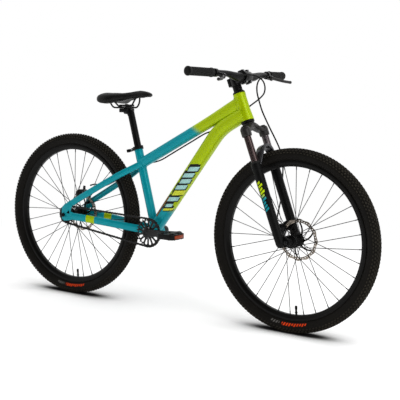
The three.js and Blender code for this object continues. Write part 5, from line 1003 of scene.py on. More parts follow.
LINK_END, WAIST = 4.1, 2.9  # radius of a link plate's round ends, and half its narrow middle
ROOT = 4.05  # radius of the round root between two teeth


def link_plate(near, far):
    """A waisted side plate from one roller to the next along X."""
    line = []
    for x, start, waist in ((0, math.pi / 2, -WAIST), (CHAIN_PITCH, -math.pi / 2, WAIST)):
        line += [polar(LINK_END, start + math.pi * k / 6, x) for k in range(7)]
        line.append((CHAIN_PITCH / 2, waist))
    count = len(line)
    points = [Vector((x, y, z)) for y in (near, far) for x, z in line]
    faces = [tuple(range(count)), tuple(reversed(range(count, 2 * count)))]
    faces += [(i, (i + 1) % count, count + (i + 1) % count, count + i) for i in range(count)]
    return points, faces


def chain_piece():
    points = rollers()
    roller = turned([(0, -2.6), (3.9, -2.6), (3.9, 2.6), (0, 2.6)], 10)
    pin = lathe([(0, -4.6), (1.9, -4.6), (1.9, 4.6), (0, 4.6)], 0.4, 8, steps=1)
    links = [joined(link_plate(-high, -low), link_plate(low, high), moved(middle, at(0)),
                    moved(middle, at(CHAIN_PITCH)))
             for low, high, middle in ((1.9, 2.9, roller), (3.1, 4.1, pin))]
    rows = [[], []]
    for i, here in enumerate(points):
        there = points[(i + 1) % len(points)]
        angle = math.atan2(there.y - here.y, there.x - here.x)
        place = (here.x + BRACKET_X, -CHAIN_LINE, here.y + BRACKET_Z)
        rows[i % 2].append((place, (0, -angle, 0)))
    inner, outer = [on_places(item, row, black_steel) for item, row in zip(links, rows)]
    part("roller chain", "frame", [(inner, worn_steel), (outer, black_steel)], node="chain",
         sharp=40)


def toothed(teeth, radius, first):
    """Tooth outline with round roots between rollers."""
    line = []
    step = TAU / teeth
    for i in range(teeth):
        start = first + step * i
        for k in range(5):
            a = math.pi * (0.12 + 0.76 * k / 4)
            line.append((radius - math.sin(a) * ROOT, start - math.cos(a) * ROOT / radius))
        line += [(radius + high, start + share * step) for high, share in (
            (2.2, 0.41), (3.4, 0.47), (3.4, 0.53), (2.2, 0.59))]
    return [polar(r, a) for r, a in line]


def sprocket(teeth, radius, centre, holes):
    """A toothed plate with its roots under the rollers that lie on it."""
    roller = next(p for p in rollers() if (p - centre).length < radius + 0.03)
    first = math.atan2(roller.y - centre.y, roller.x - centre.x)
    return plate(toothed(teeth, radius, first), -CHAIN_LINE - 1.1, -CHAIN_LINE + 1.1, holes,
                 edge=0.25)


def ring_piece():
    holes = [circle(10.1, 32)]
    window = [(25.5, -0.25), (25.5, 0.25), (43, 0.62), (48.5, 0.5), (50.2, 0), (48.5, -0.5),
              (43, -0.62)]
    spread = math.pi / 14
    for i in range(14):
        line = [polar(r, TAU * i / 14 + w * spread) for r, w in window]
        holes.append(softened(line, 1.6, closed=True, steps=2))
    ring = sprocket(RING_TEETH, RING_RADIUS, Vector((0, 0)), holes)
    part("chainring", "crankset", [(ring, powder_black)], sharp=28, place=BRACKET)


def cog_piece():
    cog = sprocket(COG_TEETH, COG_RADIUS, DRIVE, [circle(15.3, 32)])
    shell = lathe([(15.3, -54.4), (18.5, -54.4), (20, -53), (20, -49), (21.5, -46), (21.5, -36),
                   (20, -33.4), (15.3, -33.4)], 0.6, 40, closed=True)
    notch = moved(bar_between((0, 0, 0), (0, 1.4, 0), 1.5, 8), at(18, -55, 0))
    part("freewheel", "freewheel", [
        (joined(cog, shell), black_steel), around(notch, 4, bright_steel)], sharp=28, place=REAR)


chain_piece()
ring_piece()
cog_piece()


# -------------------- cranks, pedals, bottom bracket

CRANK = 170
EYE_SIDE = 76  # from the middle of the bicycle to the middle of the crank's eye
RISE = math.radians(5)  # of the right crank over level; it points ahead


def eye_at(side):
    return Vector((-side * CRANK * math.cos(RISE), side * EYE_SIDE, -side * CRANK * math.sin(RISE)))


def crank_piece(name, side):
    eye = eye_at(side)
    shares = [(0, 33, 0.80, 15), (0.1, 31, 0.82, 15), (0.25, 29, 0.85, 14.5),
              (0.5, 25.5, 0.93, 13.5), (0.8, 24, 1, 13), (1, 23, 1, 13)]
    rows = [((eye.x * s, side * EYE_SIDE * out, eye.z * s), width, height)
            for s, height, out, width in shares]
    arm = lofted(smoothed(rows, 4), 28, 3.2)
    # The milled channel along the outer face, shown by a raised rib on each edge
    ribs = []
    for edge in (-1, 1):
        path = [(eye.x * s - eye.z / CRANK * edge * height * 0.34,
                 side * (EYE_SIDE * out + width * 0.46),
                 eye.z * s + eye.x / CRANK * edge * height * 0.34)
                for s, height, out, width in shares[1:-1]]
        ribs.append(tube(spline(path, 8), 1.6, 8))
    inside, outside = 51.6 if side < 0 else 43.2, EYE_SIDE * 0.8 + 7

    def sided(line, edge, count):
        return lathe([(r, side * y) for r, y in line], edge, count)

    boss = sided([(0, inside), (19, inside), (19, outside - 3), (15.5, outside + 0.4),
                  (0, outside + 0.4)], 1.4, 40)
    ring_end = lathe([(0, -7.1), (12.9, -7.1), (12.9, 7.1), (0, 7.1)], 1.2, 32)
    cap = sided([(0, outside + 0.2), (10.5, outside + 0.2), (10.5, outside + 1.6),
                 (5.2, outside + 1.6), (4.6, outside - 0.6), (0, outside - 0.6)], 0.5, 32)
    layers = [(joined(arm, boss, moved(ring_end, at(*eye)), *ribs), powder_black),
              (cap, black_steel)]
    if side < 0:
        spider = plate(toothed(5, 25.5, 0), side * (inside + 4.8), side * inside, edge=0.8)
        screw = moved(bolt_head(3.6, 2.2), at(22.4, -inside - 4.4, 0) @ tilt(90, "X"))
        layers += [(spider, powder_black), around(screw, 5, bright_steel)]
    part(name + " crank", "crankset", layers, place=BRACKET)
    shaft = sided([(0, 69), (6.6, 69), (6.6, 83.3), (9.6, 83.3), (9.6, 87.3), (6.6, 87.3),
                   (6.6, 163.3), (0, 163.3)], 0.5, 28)
    part(name + " pedal axle", "crankset", [(shaft, bright_steel)],
         place=BRACKET @ at(eye.x, 0, eye.z))


def pedal_piece(name, side):
    """Platform pedal, drawn lying flat: X along the bicycle, Y outwards from the crank."""
    eye = eye_at(side)
    holes = [softened([(end * 12, low), (end * 31, low), (end * 31, high), (end * 12, high)], 2.5,
                      closed=True) for end in (-1, 1) for low, high in ((9, 40.5), (47.5, 79))]
    cage = soft_plate([(-29, 0), (29, 0), (40, 11), (40, 77), (29, 88), (-29, 88), (-40, 77),
                       (-40, 11)], 4, -10.5, 10.5, holes, 1.4)
    flat = Matrix(((1, 0, 0, 0), (0, 0, 1, 0), (0, 1, 0, 0), (0, 0, 0, 1)))
    barrel = sleeve(7, 10.4, 0.2, 87.8, 0.8, 28)
    pin = turned([(0, 0), (2.1, 0), (1.5, 2.2), (0, 2.2)], 8, upright=True)
    pins = [moved(pin, at(x, y, up * 9.8) @ tilt(90 - 90 * up, "X")) for x, y in (
        (-35.5, 20), (-35.5, 44), (-35.5, 68), (35.5, 20), (35.5, 44), (35.5, 68), (-20, 4.5),
        (20, 4.5), (-20, 83.5), (20, 83.5), (0, 44)) for up in (-1, 1)]
    lens = [brick((s * 40.2 - 1.2, 15, -6.6), (s * 40.2 + 1.2, 73, 6.6), 1.0) for s in (-1, 1)]
    place = BRACKET @ at(eye.x, side * 87.6, eye.z)
    if side < 0:
        place = place @ Matrix.Diagonal((1, -1, 1, 1))
    part(name + " pedal", name + "_pedal", [
        (joined(moved(cage, flat), barrel), nylon_black), (joined(*pins), black_steel),
        (joined(*lens), amber_acrylic)], place=place)


for name, side in SIDES:
    crank_piece(name, side)
    pedal_piece(name, side)

part("crank spindle", "crankset", [(rod(9.5, -59.8, 59.8, 0.6, 32), bright_steel)],
     place=BRACKET)
cups = lathe([(9.9, -39.7), (21.2, -39.7), (21.2, -36.8), (16.7, -36.8), (16.7, 36.8),
              (21.2, 36.8), (21.2, 39.7), (9.9, 39.7)], 0.6, 40, closed=True)
part("bottom bracket cups", "frame", [(cups, black_steel)], node="bottom_bracket", place=BRACKET)


# -------------------- frame

def on_seat(along):
    return SEAT_AXIS @ Vector((0, 0, along))


def on_steering(along):
    return STEERING @ Vector((0, 0, along))


head_shape = lathe([
    (18, HEAD_LOW), (26.4, HEAD_LOW), (26.4, 492), (25.6, 502), (23.6, 530), (23.4, 580),
    (24.4, 588), (24.4, HEAD_HIGH), (18, HEAD_HIGH)], 2.0, 56, closed=True, upright=True)
part("head tube", "frame", [(head_shape, lime_enamel)], place=STEERING)

top_from, top_to = on_seat(284), on_steering(559)
top_rows = [(top_from.lerp(top_to, s), 40 * w, 42 * h) for s, h, w in (
    (0, 1, 1), (0.28, 1, 1), (0.55, 1, 1), (0.72, 1.06, 1.02), (0.86, 1.2, 1.06), (1, 1.34, 1.1))]
part("top tube", "frame", [(lofted(smoothed(top_rows, 5), 44, 2.5), top_tube_enamel)])

foot, bend = Vector((-108, 0, 318)), Vector((196, 0, 742))
down_head = on_steering(HEAD_LOW + (HEAD_HIGH - HEAD_LOW) * 0.27)
below = bend + (foot - bend).normalized() * 46
ahead = bend + (down_head - bend).normalized() * 46
curve = [below * (1 - t) ** 2 + bend * 2 * t * (1 - t) + ahead * t * t
         for t in [k / 8 for k in range(9)]]
path = [foot, foot.lerp(below, 0.35), foot.lerp(below, 0.7), *curve, ahead.lerp(down_head, 0.5),
        down_head]
down_rows = [(p, *[52 * (1 + 0.08 * min(i / 3, 1))] * 2) for i, p in enumerate(path)]
part("down tube", "frame", [(lofted(down_rows, 44, 2.4), down_tube_enamel)])

seat_shape = lathe([(0, 0), (17.5, 0), (17.5, 356.8), (14.7, 356.8), (14.7, 60), (0, 60)], 0.6, 44,
                   upright=True)
part("seat tube", "frame", [(seat_shape, teal_enamel)], place=SEAT_AXIS)
part("bottom bracket shell", "frame", [(sleeve(17, 21.6, -36.5, 36.5, 0.8, 48), teal_enamel)],
     place=BRACKET)

CHAINSTAY = [(-113, 26, 317), (-160, 33.5, 320), (-200, 38, 323), (-260, 45.5, 328),
             (-340, 54, 334), (-430, 61.5, 339), (-496, 67, 342)]
SEATSTAY = [(-497, 66.5, 397.5), (-430, 63.5, 436.5), (-350, 58.5, 482.5), (-292, 52, 516),
            (-250, 42.5, 540.2), (-215, 29, 560.5), (-184, 17.5, 578), (-168, 14, 587)]
DROPOUT = [(-9, 5.1), (8, 5.1), (8, -5.1), (-9, -5.1), (-7, -19), (5, -25), (30, -21.5), (50, -16),
           (50, 13), (36, 18), (40, 30), (45.5, 42), (42, 55), (33.5, 63.5), (20, 54), (5, 46),
           (-6, 34), (-10, 25)]
BRAKE_TAB = [(1, 30), (31, 40), (25, 93), (7, 93)]


def stay_shape(places, height, side, steps=5, count=28):
    rows = [((x, side * y, z), 15.0, height) for x, y, z in places]
    return lofted(smoothed(rows, steps), count, 2.7)


window = softened([(16, 8), (34, 7), (30, 25)], 3, closed=True)
for name, side in SIDES:
    near, far = (67.8, 73.8) if side > 0 else (-73.8, -67.8)
    shapes = [moved(soft_plate(DROPOUT, 3.0, near, far, [window], 0.9), REAR)]
    if side > 0:
        shapes.append(moved(soft_plate(BRAKE_TAB, 3, near, far, edge=0.9), REAR))
    part(name + " chain stay", "frame", [
        (stay_shape(CHAINSTAY, 31, side), stay_enamel), (joined(*shapes), teal_enamel)],
        name + "_chainstay")
    part(name + " seat stay", "frame", [(stay_shape(SEATSTAY, 26, side), teal_enamel)],
         name + "_seatstay")


# -------------------- welds

def off_line(point, start, end):
    """Distance of a point from the line through two others."""
    along = (end - start).normalized()
    away = point - start
    return (away - along * away.dot(along)).length


def seam(shape, count, inside, backwards=False):
    """Where the lines along a tube's skin first enter another body."""
    rings = len(shape[0]) // count
    ring = []
    for i in range(count):
        line = [shape[0][r * count + i] for r in range(rings)]
        if backwards:
            line.reverse()
        begun = [k for k in range(1, rings) if inside(line[k]) and not inside(line[k - 1])]
        if not begun:
            continue
        low, high = line[begun[0] - 1], line[begun[0]]
        for _ in range(12):
            middle = (low + high) / 2
            low, high = (low, middle) if inside(middle) else (middle, high)
        ring.append(low)
    return ring


SCALLOP = 4.5  # from one drop of filler to the next


def bead(ring, radius=3.0):
    """A closed weld bead, with the scallop that each drop of filler leaves."""
    path = [p for i, p in enumerate(ring) for p in (p, (p + ring[(i + 1) % len(ring)]) / 2)]
    lengths = [0.0]
    for here, there in zip(path, path[1:]):
        lengths.append(lengths[-1] + (there - here).length)
    count, points, faces = 8, [], []
    centre = sum(path, Vector()) / len(path)
    for i, here in enumerate(path):
        ahead = (path[(i + 1) % len(path)] - path[i - 1]).normalized()
        out = here - centre
        out = (out - ahead * out.dot(ahead)).normalized()
        side = ahead.cross(out)
        size = radius * (1 + 0.1 * math.cos(TAU * lengths[i] / SCALLOP))
        for k in range(count):
            c, s = polar(1, TAU * k / count)
            points.append(here + (out * c + side * s) * size)
        for k in range(count):
            j, m = (i + 1) % len(path), (k + 1) % count
            faces.append((i * count + k, i * count + m, j * count + m, j * count + k))
    return points, faces


def near_head(point):
    return off_line(point, on_steering(HEAD_LOW), on_steering(HEAD_HIGH)) < 23.6


def near_post(point):
    return off_line(point, on_seat(0), on_seat(300)) < 17.4


def near_shell(point):
    return Vector((point.x - BRACKET_X, point.z - BRACKET_Z)).length < 21.5


fine_top = lofted(smoothed(top_rows, 24), 60, 2.5)
fine_down = lofted(smoothed(down_rows, 8), 60, 2.4)
fine_seat = lofted([(on_seat(10 + 4 * k), 35, 35) for k in range(40)], 48)
lime_beads = [bead(seam(fine_top, 60, near_head)), bead(seam(fine_down, 60, near_head))]
teal_beads = [bead(seam(fine_top, 60, near_post, backwards=True)),
              bead(seam(fine_down, 60, near_shell, backwards=True)),
              bead(seam(fine_seat, 48, near_shell, backwards=True))]
stay_beads = [bead(seam(stay_shape(CHAINSTAY, 31, side, 24, 36), 36, near_shell, backwards=True),
                   2.4) for side in (-1, 1)]
part("weld beads", "frame", [
    (joined(*lime_beads), lime_enamel), (joined(*teal_beads, *stay_beads), teal_enamel)],
    node=False, sharp=60)


# -------------------- headset, stem, bar

STEERER_BORE = 14.6
for name, line in (
        ("upper headset cup", [(STEERER_BORE, 595.3), (23.6, 595.3), (24.0, 598), (22.4, 601.4),
                               (18, 605.7), (STEERER_BORE, 605.7)]),
        ("lower headset cup", [(STEERER_BORE, 475.3), (23.8, 475.3), (26.2, 479), (26.4, 485.7),
                               (STEERER_BORE, 485.7)])):
    part(name, "frame", [(lathe(line, 1.0, 44, True, True), anodised_black)], place=STEERING)
spacers = [sleeve(STEERER_BORE, 17.7, low, high, 0.7, 44, upright=True)
           for low, high in ((606.3, 615.8), (616.2, 625.7))]
part("headset spacers", "steering", [(joined(*spacers), anodised_black)], node="headset_spacer",
     place=STEERING)
cap = lathe([(0, 666.3), (18.6, 666.3), (18.6, 669.4), (16.4, 671), (5.2, 671), (4.6, 668.6),
             (0, 668.6)], 0.7, 40, upright=True)
part("top cap", "steering", [
    (cap, anodised_black), (moved(bolt_head(4.4, 2.2), at(0, 0, 668.7)), bright_steel)],
    place=STEERING)

BAR_AHEAD, BAR_UP = 46, 645  # middle of the bar clamp from the steering axis


def half_shell(start, shift):
    """Half of the clamp round the bar, from an angle given in half turns."""
    turns = [math.pi * (start + k / 18) for k in range(19)]
    line = [polar(21.4, a, BAR_AHEAD, BAR_UP) for a in turns]
    line += [polar(16.2, a, BAR_AHEAD, BAR_UP) for a in reversed(turns)]
    return plate([(x + shift, z) for x, z in line], -23, 23, edge=1.0)


def lugs(near, far):
    """The four corners that take the face plate's bolts."""
    return [brick((near, y - 6.6, BAR_UP + up * 22 - 5), (far, y + 6.6, BAR_UP + up * 22 + 5), 1.8)
            for up in (-1, 1) for y in (-16, 16)]


stem_clamp = sleeve(STEERER_BORE, 19, 626, 666, 1.2, 48, upright=True)
stem_arm = lofted([((BAR_AHEAD * t - 4, 0, 646 - t), 46 * (0.74 + 0.1 * t), 40 * (0.86 - 0.06 * t))
                   for t in (0.3, 0.45, 0.62)], 32, 4.5)
ears = [brick((-29, low, 630), (-14, high, 662), 2.0) for low, high in ((1.0, 11.4), (-11.4, -1.0))]
face_bolts = [moved(bolt_head(3.9, 3.6), at(55.5, y, BAR_UP + up * 22) @ tilt(90))
              for up in (-1, 1) for y in (-16, 16)]
ear_bolts = [moved(bolt_head(3.6, 3.2), at(-21.5, 11.4, z) @ tilt(-90, "X")) for z in (637, 655)]
part("stem", "steering", [
    (joined(stem_clamp, half_shell(0.5, 0), stem_arm, *ears, *lugs(34, 46.2)), powder_black),
    (joined(*ear_bolts), bright_steel)], place=STEERING)
part("stem face plate", "steering", [
    (joined(half_shell(-0.5, 1.2), *lugs(47.4, 55.5)), powder_black),
    (joined(*face_bolts), bright_steel)], node="stem_faceplate", place=STEERING)

BAR_END, BAR_STRAIGHT, BAR_TAPER = 335.5, 52, 76
CLAMP_Y, PIVOT_Y = 186, 172  # brake lever's clamp and pivot along the bar


def eased(t):
    return t * t * (3 - 2 * t)


def bar_point(side):
    y = abs(side)
    if y <= BAR_STRAIGHT:
        return Vector((0, side, 0))
    t = (y - BAR_STRAIGHT) / (BAR_END - BAR_STRAIGHT)
    lift = min((y - BAR_STRAIGHT) / BAR_TAPER, 1)
    return Vector((-31 * t, side, 12 * (0.75 * eased(lift) + 0.25 * t)))


def bar_radius(side):
    return 15.9 - 4.8 * eased(min(max((abs(side) - BAR_STRAIGHT) / BAR_TAPER, 0), 1))


stops = [-BAR_END + 2 * BAR_END * k / 96 for k in range(97)]
bar_shape = tube([bar_point(y) for y in stops], [bar_radius(y) for y in stops], 32)
part("handlebar", "steering", [(bar_shape, anodised_black)], place=BAR)


def along_bar(direction):
    """The turn that lays the Y axis along the bar."""
    return Vector((0, 1, 0)).rotation_difference(direction).to_matrix().to_4x4()


def grip_piece(name, side):
    outer = bar_point(side * BAR_END)
    along = (outer - bar_point(side * (BAR_END - 130))).normalized()
    line = [(11.4, 0), (17.4, 0), (17.6, 3), (15.9, 6)]
    for k in range(1, 30):
        s = 8 + k * 3.8
        line += [(15.0, s - 1.2), (15.9, s - 0.7), (15.9, s + 0.7), (15.0, s + 1.2)]
    line += [(15.9, 124), (17.4, 127), (17.4, 131.6), (0, 131.6), (0, 130.3), (11.4, 130.3)]
    plug = lathe([(0, 130.5), (12.4, 130.5), (12.4, 133.4), (9, 134.4), (0, 134.4)], 0.9, 32)
    place = BAR @ Matrix.Translation(outer - along * 130) @ along_bar(along)
    part(name + " grip", "steering", [
        (turned(line, 36, closed=True), grip_rubber), (plug, nylon_black)], sharp=28,
        place=place)


LEVER_DOWN = math.radians(20)
lever_forward = Vector((math.cos(LEVER_DOWN), 0, -math.sin(LEVER_DOWN)))
lever_up = Vector((math.sin(LEVER_DOWN), 0, math.cos(LEVER_DOWN)))


def lever_pieces(name, side):
    here = bar_point(side * CLAMP_Y)
    clamp = moved(sleeve(11.8, 15.6, -7, 7, 1.0, 36), Matrix.Translation(here)
                  @ along_bar((bar_point(side * 232) - here).normalized()))

    def spot(y, forward, up=0.0):
        return Vector((here.x, side * y, here.z)) + lever_forward * forward + lever_up * up

    def pin(y, forward, reach, radius, count):
        return bar_between(spot(y, forward, -reach), spot(y, forward, reach), radius, count)

    body = lofted(smoothed([(spot(y, forward), width, height) for y, forward, width, height in (
        (182.5, 12.5, 14, 15), (180, 19, 14, 17), (178, 24, 13.5, 18), (173, 31, 13.6, 19),
        (PIVOT_Y, 37, 13, 18))], 3), 24, 3.2, lever_up)
    barrel = bar_between(spot(170, 20), spot(155.5, 20), 4.2, 20)
    adjuster = bar_between(spot(157, 20), spot(152.4, 20), 5.2, 12)
    part(name + " lever bracket", "steering", [
        (joined(clamp, body, barrel), powder_black), (adjuster, nylon_black),
        (joined(pin(PIVOT_Y, 32, 9.6, 2.9, 16), pin(CLAMP_Y, -12, 8.5, 2.6, 16)), bright_steel)],
        place=BAR)
    outward, forward = 90, math.hypot(66, 22.4) - 32
    rows = [(spot(PIVOT_Y + s * outward, 32 + f * forward), 7 * d, 11) for s, f, d in (
        (0, 0, 1.4), (0.2, 0.22, 1.1), (0.45, 0.62, 0.9), (0.7, 0.86, 0.9), (0.93, 0.98, 1),
        (1, 1, 1.15))]
    blade = lofted(smoothed(rows, 5), 24, 3.0, lever_up)
    ball = turned([(6.3 * math.sin(math.pi * k / 10), 6.3 * -math.cos(math.pi * k / 10))
                   for k in range(11)], 20)
    tip = Matrix.Translation(spot(PIVOT_Y + outward, 32 + forward))
    part(name + " brake lever", name + "_lever", [
        (joined(blade, pin(PIVOT_Y, 32, 5.5, 7, 24), moved(ball, tip)), crown_grey)],
        place=BAR)


for name, side in SIDES:
    grip_piece(name, side)
    lever_pieces(name, side)


# -------------------- fork

def on_legs(shape):
    return [moved(shape, at(LEG_X, s * LEG_Y)) for s in (-1, 1)]


def crown_piece():
    low, high = 437, 464
    half = [(-1, 0, 0.8, 0.9), (-0.62, 0.34, 0.9, 0.95), (-0.3, 0.86, 1.1, 1)]
    shares = half + [(0, 1, 1.25, 1)] + [(-out, *rest) for out, *rest in reversed(half)]
    rows = [((LEG_X * (1 - up * 0.75), LEG_Y * out, low + (high - low) * up), 39 * deep, 20 * thick)
            for out, up, deep, thick in shares]
    bridge = lofted(smoothed(rows, 5), 32, 3.0)
    boss = lathe([(14.4, 419), (18.6, 419), (19.5, 426), (19.5, 446), (17.4, 452.5), (15.6, 455),
                  (0, 455), (0, 448), (14.4, 448)], 1.2, 40, closed=True, upright=True)
    steerer = lathe([(0, 464), (23.4, 464), (23.4, 474), (14.3, 474), (14.3, 663.4), (0, 663.4)],
                    0.8, 40, upright=True)
    knob = lathe([(0, 454.6), (12.8, 454.6), (12.8, 457.6), (11, 460), (0, 460)], 1.0, 24,
                 upright=True)
    part("fork crown and steerer", "steering", [
        (joined(bridge, *on_legs(boss), steerer), crown_grey),
        (joined(*on_legs(knob)), nylon_black)], "fork_crown", place=STEERING)


def slider_piece():
    leg = lathe([(0, -13), (8, -12.6), (14, -8), (17, 2), (17.8, 60), (18.2, 200), (18.9, 284),
                 (19.8, 290), (19.8, 311), (18, 312.5), (14.4, 312.5), (14.4, 90), (0, 90)], 1.2,
                44, upright=True)
    seal = lathe([(14.15, 310), (17.6, 312.3), (17.6, 316), (15.4, 320), (14.15, 320)], 0.7, 40,
                 closed=True, upright=True)
    foot, height = 296, 76.5
    half = [(-1, 0, 0, 0.8), (-0.9, 0.18, 0.3, 0.82), (-0.74, 0.46, 0.66, 0.87),
            (-0.45, 0.86, 0.92, 0.95)]
    shares = half + [(0, 1, 1, 1)] + [(-out, *rest) for out, *rest in reversed(half)]
    rows = [((LEG_X + 20 * ahead, LEG_Y * out, foot + height * up), 13 * size, 38 * size)
            for out, up, ahead, size in shares]
    arch = lofted(smoothed(rows, 4), 28, 3.4, (1, 0, 0))
    outline = [(7.4, -14.4), (29, -16), (32.9, -16), (32.9, 2.3), (35.7, 5.1), (40.3, 5.1),
               (43.1, 2.3), (43.1, -16), (49.2, -12.8), (51.3, 5.1), (45, 15.3), (17, 48)]
    drops = [soft_plate(outline, 1.6, near, far, edge=1.0)
             for near, far in ((-59.3, -50.3), (50.3, 59.3))]
    tab = soft_plate([(17, 48), (17, 86.4), (-8.6, 83.2), (-16.6, 73.6), (-3.8, 52.8)], 3, 53.6,
                     59.6, edge=1.0)
    # The cable guide on the left leg
    guide = bar_between((LEG_X, 84.6, 208), (LEG_X, 84.6, 222), 4.2, 16)
    part("fork lower legs", "fork_lower", [
        (joined(*on_legs(leg), *drops, tab), lower_black), (arch, arch_silver),
        (joined(*on_legs(seal)), grip_rubber), (guide, nylon_black)],
        node="fork_sliders", place=STEERING)


crown_piece()
slider_piece()
for name, side in SIDES:
    part(name + " stanchion", "steering", [
        (rod(14, 172, 447.5, 0.8, 44, upright=True), leg_polish_and_painted_reflection[name])],
        place=STEERING @ at(LEG_X, side * LEG_Y))


# -------------------- brake calipers

def caliper(end, place, side, tab, degrees, body):
    """Cable caliper: cast body in two halves, pad knob and swinging arm with its cable pinch bolt.
    """
    angle = math.radians(degrees)

    def spot(along, out):
        """X and Z from the axle of a point along the rim of the disc and out from it."""
        radius = 80 + out
        return (radius * math.cos(angle) + along * math.sin(angle),
                radius * math.sin(angle) - along * math.cos(angle))

    def seated(shape, along, out, y, degrees=0):
        x, z = spot(along, out)
        return moved(shape, at(x, y, z) @ tilt(degrees, "X"))

    outline = [spot(a * 54, o * 34) for a, o in (
        (-0.5, -0.3), (-0.3, -0.5), (0.3, -0.5), (0.5, -0.3), (0.52, 0.3), (0.3, 0.55),
        (-0.2, 0.62), (-0.5, 0.34))]
    inner, outer, slot = side - 13, tab - 0.3, 1.8
    halves = [soft_plate(outline, 5, near, far, edge=1.6)
              for near, far in ((inner, side - slot), (side + slot, outer))]
    bridge = soft_plate([spot(a, o) for a, o in ((-24, 9), (24, 9), (15, 17), (-10, 20))], 3,
                        inner + 2, outer - 2, edge=1.4)
    knob = lathe([(0, inner - 4.5), (9.5, inner - 4.5), (10.5, inner - 3), (10.5, inner + 1),
                  (0, inner + 1)], 1.0, 18)
    bolts = [seated(bolt_head(4.2, 3.4), a, o, inner, 90) for a, o in ((-17, 10), (17, 8))]
    part(end + " brake caliper", body, [
        (joined(*halves, bridge), powder_black), (seated(knob, -3, -2, 0), black_steel),
        (joined(*bolts), bright_steel)], place=place)
    near = tab + 0.3
    arm_line = [spot(a, o) for a, o in (
        (-13, -3), (0, -3), (2, 20), (1.6, 34), (-8, 35.7), (-11, 20))]
    arm = joined(plate(circle(8, 32, *spot(-6.5, 0)), near, near + 5, edge=0.8),
                 soft_plate(arm_line, 2.5, near, near + 4.6, edge=0.8))
    pinch = seated(bolt_head(3.6, 3.0), -3, 30, near + 4.4, -90)
    pivot = seated(bolt_head(4.8, 1.6), -6.5, 0, near + 4.8, -90)
    part(end + " caliper arm", end + "_arm", [
        (arm, powder_black), (joined(pinch, pivot), bright_steel)], place=place)


caliper("front", FORK_AXLE, FRONT_DISC_SIDE, 53.57, 139, "fork_lower")
caliper("rear", REAR, REAR_DISC_SIDE, 67.8, 93, "frame")


# -------------------- seat collar, seat post, saddle

COLLAR_X, CAM_Y = -27.16, 13.3
collar = sleeve(17.8, 21.4, 343, 357, 1.0, 44, upright=True)
ears = [brick((-32.2, low, 344.4), (-19.6, high, 355.6), 1.4)
        for low, high in ((0.9, 7.2), (-7.2, -0.9))]
pull = bar_between((COLLAR_X, -11.5, 350), (COLLAR_X, 7.2, 350), 3.6, 20)
part("seat collar", "frame", [(joined(collar, *ears), anodised_black), (pull, bright_steel)],
     place=SEAT_AXIS)
cam = bar_between((COLLAR_X, CAM_Y, 345), (COLLAR_X, CAM_Y, 355), 5.7, 28)
handle = lofted(smoothed([
    ((COLLAR_X - 32 * b, CAM_Y - 32 * i, 350), 8 * s, 12 * s) for b, i, s in (
        (0, 0, 1), (0.4, 0.1, 0.9), (0.8, 0.34, 1.15), (1, 0.52, 0.95))], 4), 20, 3.0)
part("seat collar lever", "collar_lever", [(joined(cam, handle), anodised_black)], place=SEAT_AXIS)

POST_TOP = 502
post = rod(14.3, 207, 500, 1.0, 44, upright=True)
head = SEAT_AXIS.inverted() @ (SADDLE @ Vector((0, 0, -10.5)))
neck = lofted(smoothed([(Vector((0, 0, POST_TOP - 13)), 27.6, 27.6)] + [
    (Vector((head.x * t, 0, POST_TOP + (head.z - POST_TOP) * t)), width, height)
    for t, width, height in ((0.3, 30, 27), (0.7, 36, 30))] + [(head, 40, 34)], 4), 32, 2.6,
    (1, 0, 0))
cradle = brick((-19, -28, -19.5), (19, 28, -3.8), 3.0)
part("seat post", "seat", [
    (joined(moved(joined(post, neck), SEAT_AXIS), moved(cradle, SADDLE)), anodised_black)],
    node="seatpost")
bolt = joined(rod(6.4, -3.4, 15.4, 0.6, 6, upright=True),
              rod(8.2, 12.4, 13.8, 0.4, 24, upright=True))
part("saddle rail clamp", "seat", [
    (brick((-19, -28, 3.8), (19, 28, 12.6), 2.6), anodised_black), (bolt, bright_steel)],
    node="saddle_clamp", place=SADDLE)

SADDLE_LENGTH, SADDLE_WIDTH, SADDLE_HEIGHT, SADDLE_BACK = 268, 150, 56, -136
# Along, up and out, as shares of the saddle's size
RAILS = [(-0.285, 0.5, 0.68), (-0.25, 0.3, 0.84), (-0.2, 0.05, 0.96), (-0.15, 0, 1),
         (-0.09, 0, 1), (0.09, 0, 1), (0.13, 0.02, 1), (0.17, 0.25, 0.96), (0.2, 0.6, 0.8),
         (0.22, 0.88, 0.4)]
right, left = [[(SADDLE_LENGTH * a, s * o * 22, SADDLE_HEIGHT * u * 0.85) for a, u, o in RAILS]
               for s in (-1, 1)]
part("saddle rails", "seat", [(tube(spline(right + left[::-1], 6), 3.5, 14), black_steel)],
     place=SADDLE)

# Along, half width, top and skirt, as shares of the saddle's size
SADDLE_ROWS = [(SADDLE_BACK + SADDLE_LENGTH * a, o * SADDLE_WIDTH / 2, t * SADDLE_HEIGHT,
                l * SADDLE_HEIGHT) for a, o, t, l in (
    (0, 0.2, 0.76, 0.62), (0.03, 0.55, 0.9, 0.5), (0.12, 0.88, 1, 0.34), (0.24, 1, 1.01, 0.24),
    (0.36, 0.96, 0.98, 0.26), (0.48, 0.68, 0.97, 0.44), (0.6, 0.44, 1.02, 0.6),
    (0.74, 0.33, 1.12, 0.7), (0.88, 0.28, 1.2, 0.76), (0.96, 0.22, 1.14, 0.82),
    (1, 0.1, 0.98, 0.86))]
VOXEL = 5 * MM  # of the padding's mesh, and the most that the cloth may move it
FLANK = ((0.97, 0.12), (1.0, 0.32), (0.985, 0.52), (0.93, 0.72), (0.8, 0.88), (0.6, 0.965))


